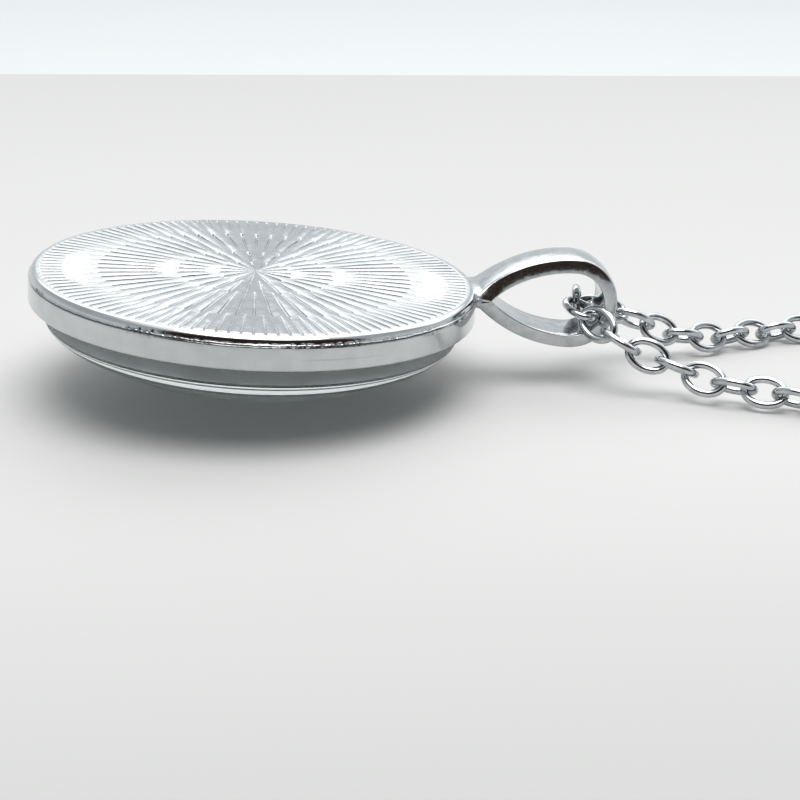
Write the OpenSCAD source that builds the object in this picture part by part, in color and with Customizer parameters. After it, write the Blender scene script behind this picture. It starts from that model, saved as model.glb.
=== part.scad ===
// Round glass picture pendant on a cable chain, lying face down on a table.
// Millimetres, +Z up, table at z = 0. The glass touches the table at the origin and the bail points to +X.

/* [Tray] */
// Outside diameter of the tray
tray_d = 27; // [26.8:0.1:28]
// Height of the tray from its back to its lip
tray_h = 2; // [1.8:0.1:2.6]
// Thickness of the tray's floor
floor_t = 0.7; // [0.6:0.05:0.8]
// Rounding of the edge between the tray's back and its side
back_round = 0.55; // [0.3:0.05:0.6]
// Rounding of the lip round the glass
lip_round = 0.15; // [0.1:0.05:0.3]
// Lean of the pendant down to its bail, in degrees
lean = 4.1; // [3.5:0.1:4.5]

/* [Sunburst] */
// Radius where the rays of the back end
burst_r = 13; // [12.6:0.1:13]
// Number of rays in the outer ring, halved in each ring inside it
outer_rays = 120; // [80:40:120]
// Depth of a groove at its outer end
groove_depth = 0.13; // [0.08:0.01:0.2]
// Width of a groove at its outer end
groove_w = 0.42; // [0.3:0.02:0.46]

/* [Glass and picture] */
// Diameter of the glass
glass_d = 25; // [24.6:0.1:25]
// How far the glass stands out of the tray
glass_rise = 5.2; // [4.8:0.1:5.6]
// Radius of the glass crown
crown_r = 22.4; // [21:0.1:24]
// Rounding between the crown and the side of the glass
glass_round = 1; // [0.8:0.05:1.2]
// Thickness of the picture disc
picture_t = 0.25; // [0.2:0.05:0.3]
// Gap left between pieces that lie on each other
gap = 0.05; // [0.03:0.01:0.08]

/* [Bail] */
// Length of the bail from the tray to its far end
bail_len = 8.6; // [8:0.1:9]
// Outside height of the bail
bail_h = 5.34; // [5.2:0.02:5.6]
// Width of the strip, along the hole
bail_w = 3.4; // [3.2:0.1:3.4]
// Thickness of the strip
bail_t = 0.74; // [0.6:0.02:0.76]
// Height of the strip's crown, at its middle
bail_crown = 0.14; // [0.08:0.02:0.2]
// Slope of the strip's sides, in degrees
bail_draft = 14; // [6:1:18]
// Outside height of the bail where its two ends meet the tray
root_h = 1.18; // [1:0.02:1.2]

/* [Chain] */
// Outside length of a link
link_len = 2.92; // [2.9:0.02:2.96]
// Outside width of a link
link_w = 2.12; // [2.06:0.02:2.16]
// Diameter of the wire
wire_d = 0.46; // [0.42:0.02:0.46]
// Distance from link to link
pitch = 1.84; // [1.83:0.005:1.85]
// Radius of the far curve of the chain's loop
loop_r = 55; // [52:1:58]
// Middle of the far curve, from the pendant
loop_x = 140; // [130:1:150]

/* [Clasp] */
// Length of the clasp between its two rings' wires
clasp_len = 8.4; // [8:0.1:9]
// Diameter of the clasp's wire
clasp_wire = 0.6; // [0.5:0.05:0.6]
// Diameter of the clasp's round body
clasp_body_d = 1.6; // [1.2:0.1:2]

/* [Hidden] */
$fn = 72;
silver = [0.80, 0.81, 0.83];
steel = [0.66, 0.68, 0.70];

// The pendant is drawn with its back at z = 0, facing up, and then leaned on its glass.
tray_r = tray_d / 2;
glass_r = glass_d / 2;
seat_r = glass_r + gap;
picture_z = -floor_t - gap - picture_t;
glass_z = picture_z - gap;
lip_z = -tray_h;
apex_z = lip_z - glass_rise;
crown_z = apex_z + crown_r;
// How far a cut runs past the face that it starts from.
beyond = 1;

// Rings of the sunburst: share of the burst's radius where a ring starts and ends, and how its rays are divided.
ring_from = 0;
ring_to = 1;
ring_split = 2;
rings = [
  [0.05, 0.18, 8],
  [0.18, 0.37, 4],
  [0.37, 0.73, 2],
  [0.73, 1.00, 1],
];

// The bail: a half circle at the far end, and one long arc above and below it down to the root.
bail_end_r = bail_h / 2;
bail_side_x = bail_len - bail_end_r;
bail_drop = bail_end_r - root_h / 2;
bail_side_r = (bail_side_x * bail_side_x + bail_drop * bail_drop) / (2 * bail_drop);
bail_side_angle = asin(bail_side_x / bail_side_r);
bail_crown_r = (bail_w * bail_w / 4 + bail_crown * bail_crown) / (2 * bail_crown);
// Middle of the bail's root, just outside the tray's side and below its back.
bail_x = tray_r + 0.04;
bail_z = -0.6;
// The solid root where the strip's two ends meet: how far it reaches into the tray and out along the bail.
root_into = 0.7;
root_out = 0.5;
root_inset = 0.02;

// A link: half a turn of wire at each end and a short straight run on each side.
link_a = (link_len - wire_d) / 2;
link_b = (link_w - wire_d) / 2;
link_run = link_len - link_w;

// The chain's way: out of the bail, down to the table and round the far curve.
// A row for each link near the bail, where every link is shown, and then one where the way bends.
// The first row is the other half's first link, and only gives the way its direction there.
// Where the links lie on the table they lean to either side by this angle, and the clasp lies as they do.
lie = 45;
rest_clear = 0.02;
rest_z = link_b * sin(lie) + wire_d / 2 + rest_clear;
near_start = [
  [18.9, 1.05, 4.9], [18.75, -0.7, 4.85], [19.7, -2.3, 4.2], [20.9, -3.45, 3.5], [22.5, -4.1, 2.7],
  [24.15, -4.75, 2.05], [25.85, -5.45, 1.45], [27.5, -6.2, 1.25], [29.1, -7.1, 1.1], [33, -9.3, 0.9],
  [42, -14, rest_z], [58, -22.5, rest_z], [84, -36, rest_z],
];
far_start = [
  [18.75, -0.7, 4.85], [18.9, 1.05, 4.9], [19.5, 2.5, 3.9], [20.9, 3.1, 3.55], [22.95, 3.25, 2.8],
  [24.65, 3.5, 2.1], [26.4, 3.9, 1.55], [28.3, 4.5, 1.15], [31.7, 5.8, 0.9], [35.3, 6.9, 0.85],
  [44, 10.5, rest_z], [60, 20, rest_z], [85, 35, rest_z],
];
// The clasp: a small ring, a round body and a longer closed hook in one line.
eye_r = 0.95;
hook_r = 1.15;
hook_run = 1.8;
clasp_x = loop_x + loop_r;
clasp_z = max(hook_r * sin(lie) + clasp_wire / 2, clasp_body_d / 2) + rest_clear;
body_r = clasp_body_d / 2;
body_from = -clasp_len / 2 + 2 * eye_r - clasp_wire / 2 + body_r;
body_to = clasp_len / 2 - 2 * hook_r - hook_run + clasp_wire / 2 - body_r;

// Round the far curve the way has a row every 15 degrees, and it ends on the wire of the clasp's ring or hook.
curve_step = 15;
curve_from = 120;
near_way = concat(near_start, [for (a = [-curve_from : curve_step : -curve_step]) on_curve(a)],
  [[clasp_x, -clasp_len / 2, clasp_z], [clasp_x, 0, clasp_z]]);
far_way = concat(far_start, [for (a = [curve_from : -curve_step : curve_step]) on_curve(a)],
  [[clasp_x, clasp_len / 2, clasp_z], [clasp_x, 0, clasp_z]]);
// How far a link is turned about the chain's line, by its distance from the first link.
turn_near = [[0, 76], [1.85, 62], [3.7, 66], [7.4, 67], [14, lie]];
turn_far = [[0, 85], [1.8, 49], [3.6, 32], [5.5, 58], [9.2, 59], [14, lie]];
way_steps = 12;
// What is left of the way between the middle of the last link and the middle of the clasp's wire.
end_clear = 0.12;
end_gap = link_a - wire_d / 2 - clasp_wire / 2 - end_clear;

function on_curve(a) = [loop_x + loop_r * cos(a), loop_r * sin(a), rest_z];
// Unit direction of a way at its point i.
function heading(p, i) = (p[i + 1] - p[i - 1]) / (norm(p[i + 1] - p[i]) + norm(p[i] - p[i - 1]));
// Smooth curve between points i and i + 1 of a way.
function between(p, i, t) =
  let (h = norm(p[i + 1] - p[i]), t2 = t * t, t3 = t2 * t)
  p[i] * (2 * t3 - 3 * t2 + 1) + heading(p, i) * h * (t3 - 2 * t2 + t)
  + p[i + 1] * (3 * t2 - 2 * t3) + heading(p, i + 1) * h * (t3 - t2);
// The whole way as short straight steps, without the first and last points, which only give its ends a direction.
function smooth(p) = concat(
  [for (i = [1 : len(p) - 3]) for (k = [0 : way_steps - 1]) between(p, i, k / way_steps)],
  [p[len(p) - 2]]);
// Distance along a line at each of its points.
function lengths(d) = [
  for (i = 0, s = 0; i < len(d); s = s + (i + 1 < len(d) ? norm(d[i + 1] - d[i]) : 0), i = i + 1) s];
function axis_table(d, s, axis) = [for (i = [0 : len(d) - 1]) [s[i], d[i][axis]]];
function at(tables, s) = [lookup(s, tables[0]), lookup(s, tables[1]), lookup(s, tables[2])];

module leaned() {
  translate([-crown_z * sin(lean), 0, crown_r - crown_z * cos(lean)])
    rotate([0, lean, 0])
      children();
}

module tray_profile() {
  difference() {
    union() {
      translate([0, -tray_h + lip_round]) square([tray_r, tray_h - lip_round - back_round]);
      translate([0, -tray_h]) square([tray_r - lip_round, tray_h - back_round]);
      translate([0, -back_round]) square([tray_r - back_round, back_round]);
      translate([tray_r - back_round, -back_round]) circle(back_round);
      translate([tray_r - lip_round, -tray_h + lip_round]) circle(lip_round);
    }
    translate([-beyond, -tray_h - beyond]) square([seat_r + beyond, tray_h + beyond - floor_t]);
  }
}

// One tapering groove: a tilted V that comes to nothing at its inner end.
module groove(from, to) {
  run = to - from;
  tilt = atan(groove_depth / run);
  above = 0.1;
  half = groove_w / 2 * (1 + above / groove_depth);
  translate([from, 0, 0])
    rotate([0, tilt, 0])
      rotate([90, 0, 90])
        linear_extrude(run / cos(tilt))
          polygon([[0, 0], [half, groove_depth + above], [-half, groove_depth + above]]);
}

module sunburst() {
  for (ring = rings) {
    rays = outer_rays / ring[ring_split];
    for (i = [0 : rays - 1])
      rotate([0, 0, (i + 0.5) * 360 / rays])
        groove(ring[ring_from] * burst_r, ring[ring_to] * burst_r);
  }
}

// The strip's section: flat inside, sloped sides and a low crown outside.
module strip_section() {
  outer_w = bail_w - 2 * bail_t * tan(bail_draft);
  intersection() {
    polygon([[0, -bail_w / 2], [bail_t, -outer_w / 2], [bail_t, outer_w / 2], [0, bail_w / 2]]);
    translate([bail_t - bail_crown_r, 0]) circle(bail_crown_r, $fn = 200);
  }
}

// A curved piece of the strip round the Y axis, from one angle up from +X to another.
module strip_arc(radius, from, sweep) {
  rotate([90, 0, 0])
    rotate([0, 0, from])
      rotate_extrude(angle = sweep)
        translate([radius - bail_t, 0])
          strip_section();
}

module bail() {
  translate([bail_x, 0, bail_z]) {
    translate([bail_side_x, 0, 0]) {
      strip_arc(bail_end_r, -90, 180);
      translate([0, 0, -(bail_side_r - bail_end_r)]) strip_arc(bail_side_r, 90, bail_side_angle);
      translate([0, 0, bail_side_r - bail_end_r]) strip_arc(bail_side_r, -90 - bail_side_angle, bail_side_angle);
    }
    translate([-root_into, -bail_w / 2, -root_h / 2 + root_inset])
      cube([root_into + root_out, bail_w, root_h - 2 * root_inset]);
  }
}

module setting() {
  color(silver) leaned() {
    difference() {
      rotate_extrude() tray_profile();
      sunburst();
    }
    bail();
  }
}

// Glass: a flat base on the picture, a straight side, a round edge and a wide crown.
module glass_profile() {
  edge_x = glass_r - glass_round;
  edge_z = crown_z - sqrt(pow(crown_r - glass_round, 2) - edge_x * edge_x);
  edge_angle = asin(edge_x / (crown_r - glass_round));
  crown_x = crown_r * sin(edge_angle);
  crown_edge_z = crown_z - crown_r * cos(edge_angle);
  translate([0, edge_z]) square([glass_r, glass_z - edge_z]);
  translate([edge_x, edge_z]) intersection() {
    circle(glass_round);
    translate([0, -glass_round]) square([glass_round, glass_round]);
  }
  intersection() {
    translate([0, crown_z]) circle(crown_r, $fn = 360);
    translate([0, apex_z - beyond]) square([crown_x, crown_edge_z - apex_z + beyond]);
  }
  polygon([[0, crown_edge_z], [crown_x, crown_edge_z], [edge_x, edge_z], [0, edge_z]]);
}

module glass_dome() {
  color([0.55, 0.62, 0.68, 0.6]) leaned()
    rotate_extrude() glass_profile();
}

module picture_disc() {
  color([0.36, 0.45, 0.55]) leaned()
    translate([0, 0, picture_z]) cylinder(h = picture_t, r = glass_r);
}

module link() {
  for (side = [-1, 1]) {
    translate([side * link_run / 2, 0, 0])
      rotate([0, 0, -90 * side])
        rotate_extrude(angle = 180, $fn = 48)
          translate([link_b, 0])
            circle(d = wire_d, $fn = 24);
    translate([-link_run / 2, side * link_b, 0])
      rotate([0, 90, 0])
        cylinder(h = link_run, d = wire_d, $fn = 24);
  }
}

// Links along a way. Every second link is a quarter turn on, from the first link where first_quarter is 1.
module chain(way, turns, first_quarter) {
  line = smooth(way);
  run = lengths(line);
  tables = [for (axis = [0 : 2]) axis_table(line, run, axis)];
  end = run[len(run) - 1] - end_gap;
  count = round(end / pitch);
  step = end / count;
  for (i = [0 : count]) {
    s = i * step;
    dir = at(tables, s + pitch / 4) - at(tables, max(s - pitch / 4, 0));
    translate(at(tables, s))
      rotate([0, -asin(dir.z / norm(dir)), atan2(dir.y, dir.x)])
        rotate([lookup(s, turns) - 90 * ((i + first_quarter) % 2), 0, 0])
          link();
  }
}

module chain_near() {
  color(steel) chain(near_way, turn_near, 1);
}

module chain_far() {
  color(steel) chain(far_way, turn_far, 0);
}

module clasp_ring(radius, run) {
  for (side = [-1, 1]) {
    translate([side * run / 2, 0, 0])
      rotate([0, 0, -90 * side])
        rotate_extrude(angle = 180)
          translate([radius, 0])
            circle(d = clasp_wire);
    if (run > 0)
      translate([-run / 2, side * radius, 0])
        rotate([0, 90, 0])
          cylinder(h = run, d = clasp_wire);
  }
}

module clasp() {
  color(silver)
    translate([clasp_x, 0, clasp_z])
      rotate([0, 0, 90])
        rotate([lie, 0, 0]) {
          translate([-clasp_len / 2 + eye_r, 0, 0]) clasp_ring(eye_r, 0);
          translate([clasp_len / 2 - hook_r - hook_run / 2, 0, 0]) clasp_ring(hook_r, hook_run);
          translate([body_from, 0, 0]) rotate([0, 90, 0]) cylinder(h = body_to - body_from, r = body_r);
          for (x = [body_from, body_to])
            translate([x, 0, 0]) sphere(body_r);
        }
}

setting();
glass_dome();
picture_disc();
chain_near();
chain_far();
clasp();
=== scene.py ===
"""Round glass picture pendant on a cable chain, lying face down on a pale table.

The table is at z = 0, the glass touches it at the origin and the bail points to +X.
Sizes are class fields in millimetres. Meshes are in metres.
"""

from __future__ import annotations

import logging
import math
from dataclasses import dataclass, field, replace
from enum import Enum

import bpy
import numpy as np
from mathutils import Matrix, Vector, noise
from mathutils.geometry import delaunay_2d_cdt

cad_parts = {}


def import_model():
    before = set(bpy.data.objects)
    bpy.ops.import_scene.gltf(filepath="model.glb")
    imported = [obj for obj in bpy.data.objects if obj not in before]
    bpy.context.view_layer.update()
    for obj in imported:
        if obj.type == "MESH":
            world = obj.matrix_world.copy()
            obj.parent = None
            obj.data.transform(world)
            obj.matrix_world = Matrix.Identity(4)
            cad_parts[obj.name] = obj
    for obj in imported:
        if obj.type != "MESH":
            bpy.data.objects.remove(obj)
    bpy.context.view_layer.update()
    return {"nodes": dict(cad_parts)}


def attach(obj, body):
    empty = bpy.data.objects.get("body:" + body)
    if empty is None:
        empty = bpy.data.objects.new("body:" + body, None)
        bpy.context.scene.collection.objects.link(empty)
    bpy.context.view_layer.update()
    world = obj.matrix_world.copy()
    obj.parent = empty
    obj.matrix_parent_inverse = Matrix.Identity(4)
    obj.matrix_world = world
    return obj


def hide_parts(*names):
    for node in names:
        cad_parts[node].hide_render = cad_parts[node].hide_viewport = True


MM = 0.001
# Mesh attributes: how dark a point is painted, with painted shade and tarnish, how far the parting line's
# filling moves it out, and a link's roll.
SHADE_AND_TARNISH = "shade_and_tarnish"
FILL = "fill"
TURN = "turn"
# Steps round a link and round its wire, for the links by the pendant and for the others.
LINK_STEPS = ((36, 12), (12, 5))
log = logging.getLogger("pendant")

Colour = tuple[float, float, float]
Point = tuple[float, float, float]
FlatPoint = tuple[float, float]
RimRow = tuple[float, float, float, float]


class Slot(Enum):
    """The record's finishes."""

    SILVER = "silver_plate"
    GLASS = "glass"
    PRINT = "picture_print"
    CHAIN = "chain_metal"


class Choice(Enum):
    """The finishes of one piece, in the order of its materials."""

    @property
    def number(self) -> int:
        """Its place among the piece's materials."""
        return list(type(self)).index(self)


class Tree:
    """Adds nodes to a shader or geometry tree."""

    def __init__(self, tree: bpy.types.NodeTree) -> None:
        """Keeps the tree that the nodes go into."""
        self.tree = tree

    def add(self, kind: str, inputs: dict | None = None, **settings: object) -> bpy.types.Node:
        """Adds one node.

        Args:
            kind: The node's type.
            inputs: Values or sockets for its inputs, by name or place.
            settings: Values of the node's own settings.

        Returns:
            The node.
        """
        node = self.tree.nodes.new(kind)
        for name, value in settings.items():
            setattr(node, name, value)
        for name, value in (inputs or {}).items():
            self.feed(node.inputs[name], value)
        return node

    def feed(self, socket: bpy.types.NodeSocket, value: object) -> None:
        """Links a socket to another one, or gives it a value.

        Args:
            socket: The input.
            value: An output socket or a value.
        """
        if isinstance(value, bpy.types.NodeSocket):
            self.tree.links.new(value, socket)
        else:
            socket.default_value = value

    def math(self, operation: str, first: object, second: object = 0.0) -> bpy.types.NodeSocket:
        """Returns the result of a Math node."""
        return self.add("ShaderNodeMath", {0: first, 1: second}, operation=operation).outputs[0]


class ShaderTree(Tree):
    """A shader tree with the few groups of nodes that the finishes share."""

    def place(self) -> bpy.types.NodeSocket:
        """Returns the Object coordinates."""
        return self.add("ShaderNodeTexCoord").outputs["Object"]

    def vector(self, operation: str, first: object, second: object = (0, 0, 0)) -> bpy.types.NodeSocket:
        """Returns the result of a Vector Math node."""
        return self.add("ShaderNodeVectorMath", {0: first, 1: second}, operation=operation).outputs[0]

    def remap(self, value: object, low: float, high: float, to_low: float, to_high: float,
              smooth: bool = False) -> bpy.types.NodeSocket:
        """Returns a value mapped from one span to another and held inside it.

        Args:
            value: The socket to map.
            low: Start of its span.
            high: End of its span.
            to_low: Result at the start.
            to_high: Result at the end.
            smooth: Whether the step between them is an S curve.

        Returns:
            The mapped value's socket.
        """
        kind = "SMOOTHSTEP" if smooth else "LINEAR"
        span = {"Value": value, "From Min": low, "From Max": high, "To Min": to_low, "To Max": to_high}
        return self.add("ShaderNodeMapRange", span, interpolation_type=kind).outputs["Result"]

    def grain(self, size: float, detail: float = 3.0) -> bpy.types.NodeSocket:
        """Returns a noise on Object coordinates.

        Args:
            size: Size of the noise's lumps in millimetres.
            detail: Finer octaves in it.

        Returns:
            The noise's value, about 0.5.
        """
        wave = {"Vector": self.place(), "Scale": 1 / (size * MM), "Detail": detail}
        return self.add("ShaderNodeTexNoise", wave).outputs["Fac"]

    def spread(self, grain: object, low: float, high: float, reach: float = 0.2) -> bpy.types.NodeSocket:
        """Returns a noise spread over a span.

        Args:
            grain: The noise, which is about 0.5.
            low: Result where it is low.
            high: Result where it is high.
            reach: How far from 0.5 the noise counts.

        Returns:
            The spread value's socket.
        """
        return self.remap(grain, 0.5 - reach, 0.5 + reach, low, high)

    def blend(self, share: object, first: object, second: object) -> bpy.types.NodeSocket:
        """Returns a mix of two colours.

        Args:
            share: The second one's share, from 0 to 1.
            first: A colour or a socket.
            second: The same.

        Returns:
            The mixed colour's socket.
        """
        mixed = self.add("ShaderNodeMix", {"Factor": share}, data_type="RGBA")
        for label, colour in (("A", first), ("B", second)):
            given = isinstance(colour, bpy.types.NodeSocket)
            self.feed(mixed.inputs[label], colour if given else (*colour, 1))
        return mixed.outputs["Result"]

    def bump(self, height: bpy.types.NodeSocket, depth: float, below: object = None) -> bpy.types.NodeSocket:
        """Returns the normal of a bump.

        Args:
            height: The bump's height, from 0 to 1.
            depth: Its depth in millimetres.
            below: The normal under it, if there is one.

        Returns:
            The normal's socket.
        """
        inputs = {"Height": height, "Distance": depth * MM, "Strength": 1.0}
        if below is not None:
            inputs["Normal"] = below
        return self.add("ShaderNodeBump", inputs).outputs["Normal"]


@dataclass(frozen=True)
class Finish:
    """One finish, which makes its own material."""

    name: str

    def material(self) -> bpy.types.Material:
        """Makes the material.

        Returns:
            The material.
        """
        material = bpy.data.materials.new(self.name)
        material.use_nodes = True
        self.dress(ShaderTree(material.node_tree), material.node_tree.nodes["Principled BSDF"])
        return material

    def dress(self, tree: ShaderTree, shader: bpy.types.Node) -> None:
        """Sets a new material's shader, which each kind of finish does in its own way."""
        raise NotImplementedError(self.name)


@dataclass(frozen=True)
class PlatedMetal(Finish):
    """Bright plate over a casting: uneven by the millimetre, with fine grain, wear, and painted shade and
    tarnish in its recesses.
    """

    colour: Colour
    dull_colour: Colour
    gloss: float
    wear: float
    dent_size: float
    dent_depth: float
    grain_size: float
    grain_depth: float
    shade_and_tarnish_tone: float = 0.08

    def dress(self, tree: ShaderTree, shader: bpy.types.Node) -> None:
        """Tints, roughens and dents the plate.

        Args:
            tree: The material's tree.
            shader: Its Principled shader.
        """
        dents = tree.grain(self.dent_size, detail=2)
        grain = tree.grain(self.grain_size, detail=4)
        tint = tree.blend(tree.spread(dents, 0, 1, reach=0.15), self.colour, self.dull_colour)
        # Painted shade and tarnish: the mark darkens the plate towards a share of its dull colour in
        # grooves, on the parting line and in the scratch.
        shade_and_tarnish = tree.add("ShaderNodeAttribute", attribute_name=SHADE_AND_TARNISH).outputs["Fac"]
        plate = tree.blend(shade_and_tarnish, tint, [self.shade_and_tarnish_tone * c for c in self.dull_colour])
        tree.feed(shader.inputs["Base Color"], plate)
        shader.inputs["Metallic"].default_value = 1.0
        tree.feed(shader.inputs["Roughness"], tree.spread(grain, self.gloss, self.wear))
        coarse = tree.bump(dents, self.dent_depth)
        tree.feed(shader.inputs["Normal"], tree.bump(grain, self.grain_depth, coarse))


@dataclass(frozen=True)
class RayedMetal(PlatedMetal):
    """Plate over fine tool marks that run out from a centre, so that it glitters across them."""

    centre: Point = (0.0, 0.0, 0.0)
    axis: Point = (0.0, 0.0, 1.0)
    spread: float = 0.9

    def about(self, place: Matrix) -> RayedMetal:
        """The same plate with its marks round the Z axis of a place."""
        axis = place.to_3x3() @ Vector((0, 0, 1))
        return replace(self, centre=tuple(place.translation), axis=tuple(axis))

    def dress(self, tree: ShaderTree, shader: bpy.types.Node) -> None:
        """Dresses the plate and blurs its reflections round the axis.

        Args:
            tree: The material's tree.
            shader: Its Principled shader.
        """
        super().dress(tree, shader)
        out = tree.vector("SUBTRACT", tree.place(), self.centre)
        around = tree.vector("CROSS_PRODUCT", self.axis, out)
        shader.inputs["Anisotropic"].default_value = self.spread
        tree.feed(shader.inputs["Tangent"], tree.vector("NORMALIZE", around))


class Plate(Choice):
    """The finishes of the setting: rim and sides, rayed back, walls of its grooves in a lighter copy that
    paints light on them, bail, and seat.
    """

    PLAIN = PlatedMetal(
        name="silver_plate", colour=(0.58, 0.592, 0.602), dull_colour=(0.53, 0.546, 0.556),
        gloss=0.05, wear=0.1, dent_size=1.1, dent_depth=0.008, grain_size=0.16, grain_depth=0.0012)
    RAYED = RayedMetal(
        name="rayed_silver_plate", colour=(0.525, 0.537, 0.545), dull_colour=(0.455, 0.469, 0.478),
        gloss=0.2, wear=0.28, dent_size=1.3, dent_depth=0.03, grain_size=0.16, grain_depth=0.002,
        shade_and_tarnish_tone=0.3)
    # Painted light: the groove walls get a lighter copy of the plate, which evens out their darker
    # reflections in the near and far sectors.
    LIT_GROOVE = PlatedMetal(
        name="painted_light_groove_silver_plate", colour=(0.64, 0.655, 0.665), dull_colour=(0.58, 0.59, 0.6),
        gloss=0.1, wear=0.18, dent_size=1.0, dent_depth=0.006, grain_size=0.16, grain_depth=0.001)
    CAST = PlatedMetal(
        name="cast_silver_plate", colour=(0.545, 0.56, 0.57), dull_colour=(0.445, 0.46, 0.47),
        gloss=0.1, wear=0.22, dent_size=0.6, dent_depth=0.014, grain_size=0.14, grain_depth=0.002)
    SEAT = PlatedMetal(
        name="seat_silver_plate", colour=(0.7, 0.73, 0.74), dull_colour=(0.62, 0.65, 0.66),
        gloss=0.5, wear=0.65, dent_size=0.8, dent_depth=0.01, grain_size=0.16, grain_depth=0.004)


CHAIN_METAL = PlatedMetal(
    name="chain_metal", colour=(0.55, 0.57, 0.585), dull_colour=(0.43, 0.45, 0.47),
    gloss=0.07, wear=0.18, dent_size=0.5, dent_depth=0.008, grain_size=0.12, grain_depth=0.0015)


@dataclass(frozen=True)
class ClearGlass(Finish):
    """Pressed glass with a faint blue-green body, clear or ground."""

    colour: Colour
    smooth: float
    rough: float
    ior: float = 1.5
    lump: float = 2.0

    def dress(self, tree: ShaderTree, shader: bpy.types.Node) -> None:
        """Makes the shader clear, and uneven in its polish.

        Args:
            tree: The material's tree.
            shader: Its Principled shader.
        """
        shader.inputs["Base Color"].default_value = (*self.colour, 1)
        shader.inputs["Transmission Weight"].default_value = 1.0
        shader.inputs["IOR"].default_value = self.ior
        polish = tree.spread(tree.grain(self.lump), self.smooth, self.rough)
        tree.feed(shader.inputs["Roughness"], polish)


@dataclass(frozen=True)
class PrintInk(Finish):
    """Ink of one part of the picture, with soft cloudy variation and a clear gloss coat."""

    dark: Colour
    light: Colour
    lump: float
    gloss: float = 0.3
    wear: float = 0.45
    grain_size: float = 0.2

    def dress(self, tree: ShaderTree, shader: bpy.types.Node) -> None:
        """Clouds the ink and coats it.

        Args:
            tree: The material's tree.
            shader: Its Principled shader.
        """
        clouds = tree.grain(self.lump, detail=4)
        tree.feed(shader.inputs["Base Color"], tree.blend(tree.spread(clouds, 0, 1), self.dark, self.light))
        coat = tree.spread(tree.grain(self.grain_size), self.gloss, self.wear)
        tree.feed(shader.inputs["Roughness"], coat)


class Ink(Choice):
    """The inks of the picture."""

    SKY = PrintInk("winter_sky_ink", (0.60, 0.67, 0.71), (0.72, 0.78, 0.81), 3.5)
    GLOW = PrintInk("moon_glow_ink", (0.76, 0.81, 0.83), (0.84, 0.88, 0.89), 2.5)
    MOON = PrintInk("moon_ink", (0.90, 0.91, 0.88), (0.95, 0.95, 0.92), 1.6)
    FAR_HILL = PrintInk("far_hill_ink", (0.46, 0.54, 0.59), (0.56, 0.63, 0.67), 2.0)
    NEAR_HILL = PrintInk("near_hill_ink", (0.30, 0.38, 0.43), (0.38, 0.46, 0.51), 1.6)
    PINE = PrintInk("pine_ink", (0.09, 0.13, 0.15), (0.14, 0.19, 0.21), 0.6)
    SNOW = PrintInk("snow_ink", (0.78, 0.83, 0.86), (0.88, 0.91, 0.92), 1.8)
    WOLF = PrintInk("wolf_ink", (0.045, 0.055, 0.065), (0.10, 0.115, 0.13), 0.35)
    FLAKE = PrintInk("flake_ink", (0.93, 0.94, 0.95), (0.97, 0.98, 0.98), 1.0)
    BORDER = PrintInk("border_ink", (0.74, 0.79, 0.81), (0.83, 0.87, 0.89), 2.5)


@dataclass(frozen=True)
class TablePaint(Finish):
    """Matt pale paint of the table, for the stage only: with a faint glow of painted fill light, and painted
    shade that makes it greyer at its near edge.
    """

    colour: Colour
    cloud: float = 0.985
    cloud_size: float = 60.0
    # Painted fill light: a faint glow that lifts the shadows.
    painted_fill_light: Colour = (0.053, 0.059, 0.06)
    # Painted shade: towards the camera the paint darkens, down to the share given by fade.
    shade_from: float = -14.0
    shade_to: float = -66.0
    fade: float = 0.7

    def dress(self, tree: ShaderTree, shader: bpy.types.Node) -> None:
        """Clouds the paint, darkens it towards the camera with painted shade, and gives it a glow of painted
        fill light.

        Args:
            tree: The material's tree.
            shader: Its Principled shader.
        """
        clouds = tree.spread(tree.grain(self.cloud_size), 0, 1)
        tint = tree.blend(clouds, self.colour, [self.cloud * c for c in self.colour])
        y = tree.add("ShaderNodeSeparateXYZ", {0: tree.place()}).outputs[1]
        # Painted shade, darker towards the camera.
        near = tree.remap(y, self.shade_to * MM, self.shade_from * MM, self.fade, 1)
        painted_shade_tint = tree.add("ShaderNodeVectorMath", {0: tint, "Scale": near}, operation="SCALE")
        tree.feed(shader.inputs["Base Color"], painted_shade_tint.outputs[0])
        # Painted fill light: the paint glows faintly, which lifts the shadows.
        shader.inputs["Emission Color"].default_value = (*self.painted_fill_light, 1)
        shader.inputs["Emission Strength"].default_value = 1.0
        shader.inputs["Roughness"].default_value = 0.9
        shader.inputs["Specular IOR Level"].default_value = 0.1


def add_mark(mesh: bpy.types.Mesh, name: str, values: np.ndarray) -> None:
    """Gives each point of a mesh a value under an attribute's name."""
    mesh.attributes.new(name, "FLOAT", "POINT").data.foreach_set("value", values.astype(np.float32))


def read_mark(mesh: bpy.types.Mesh, name: str) -> np.ndarray:
    """Reads what add_mark gave.

    Args:
        mesh: The mesh.
        name: The attribute's name.

    Returns:
        The value of each point.
    """
    values = np.empty(len(mesh.vertices), np.float32)
    mesh.attributes[name].data.foreach_get("value", values)
    return values


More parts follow.
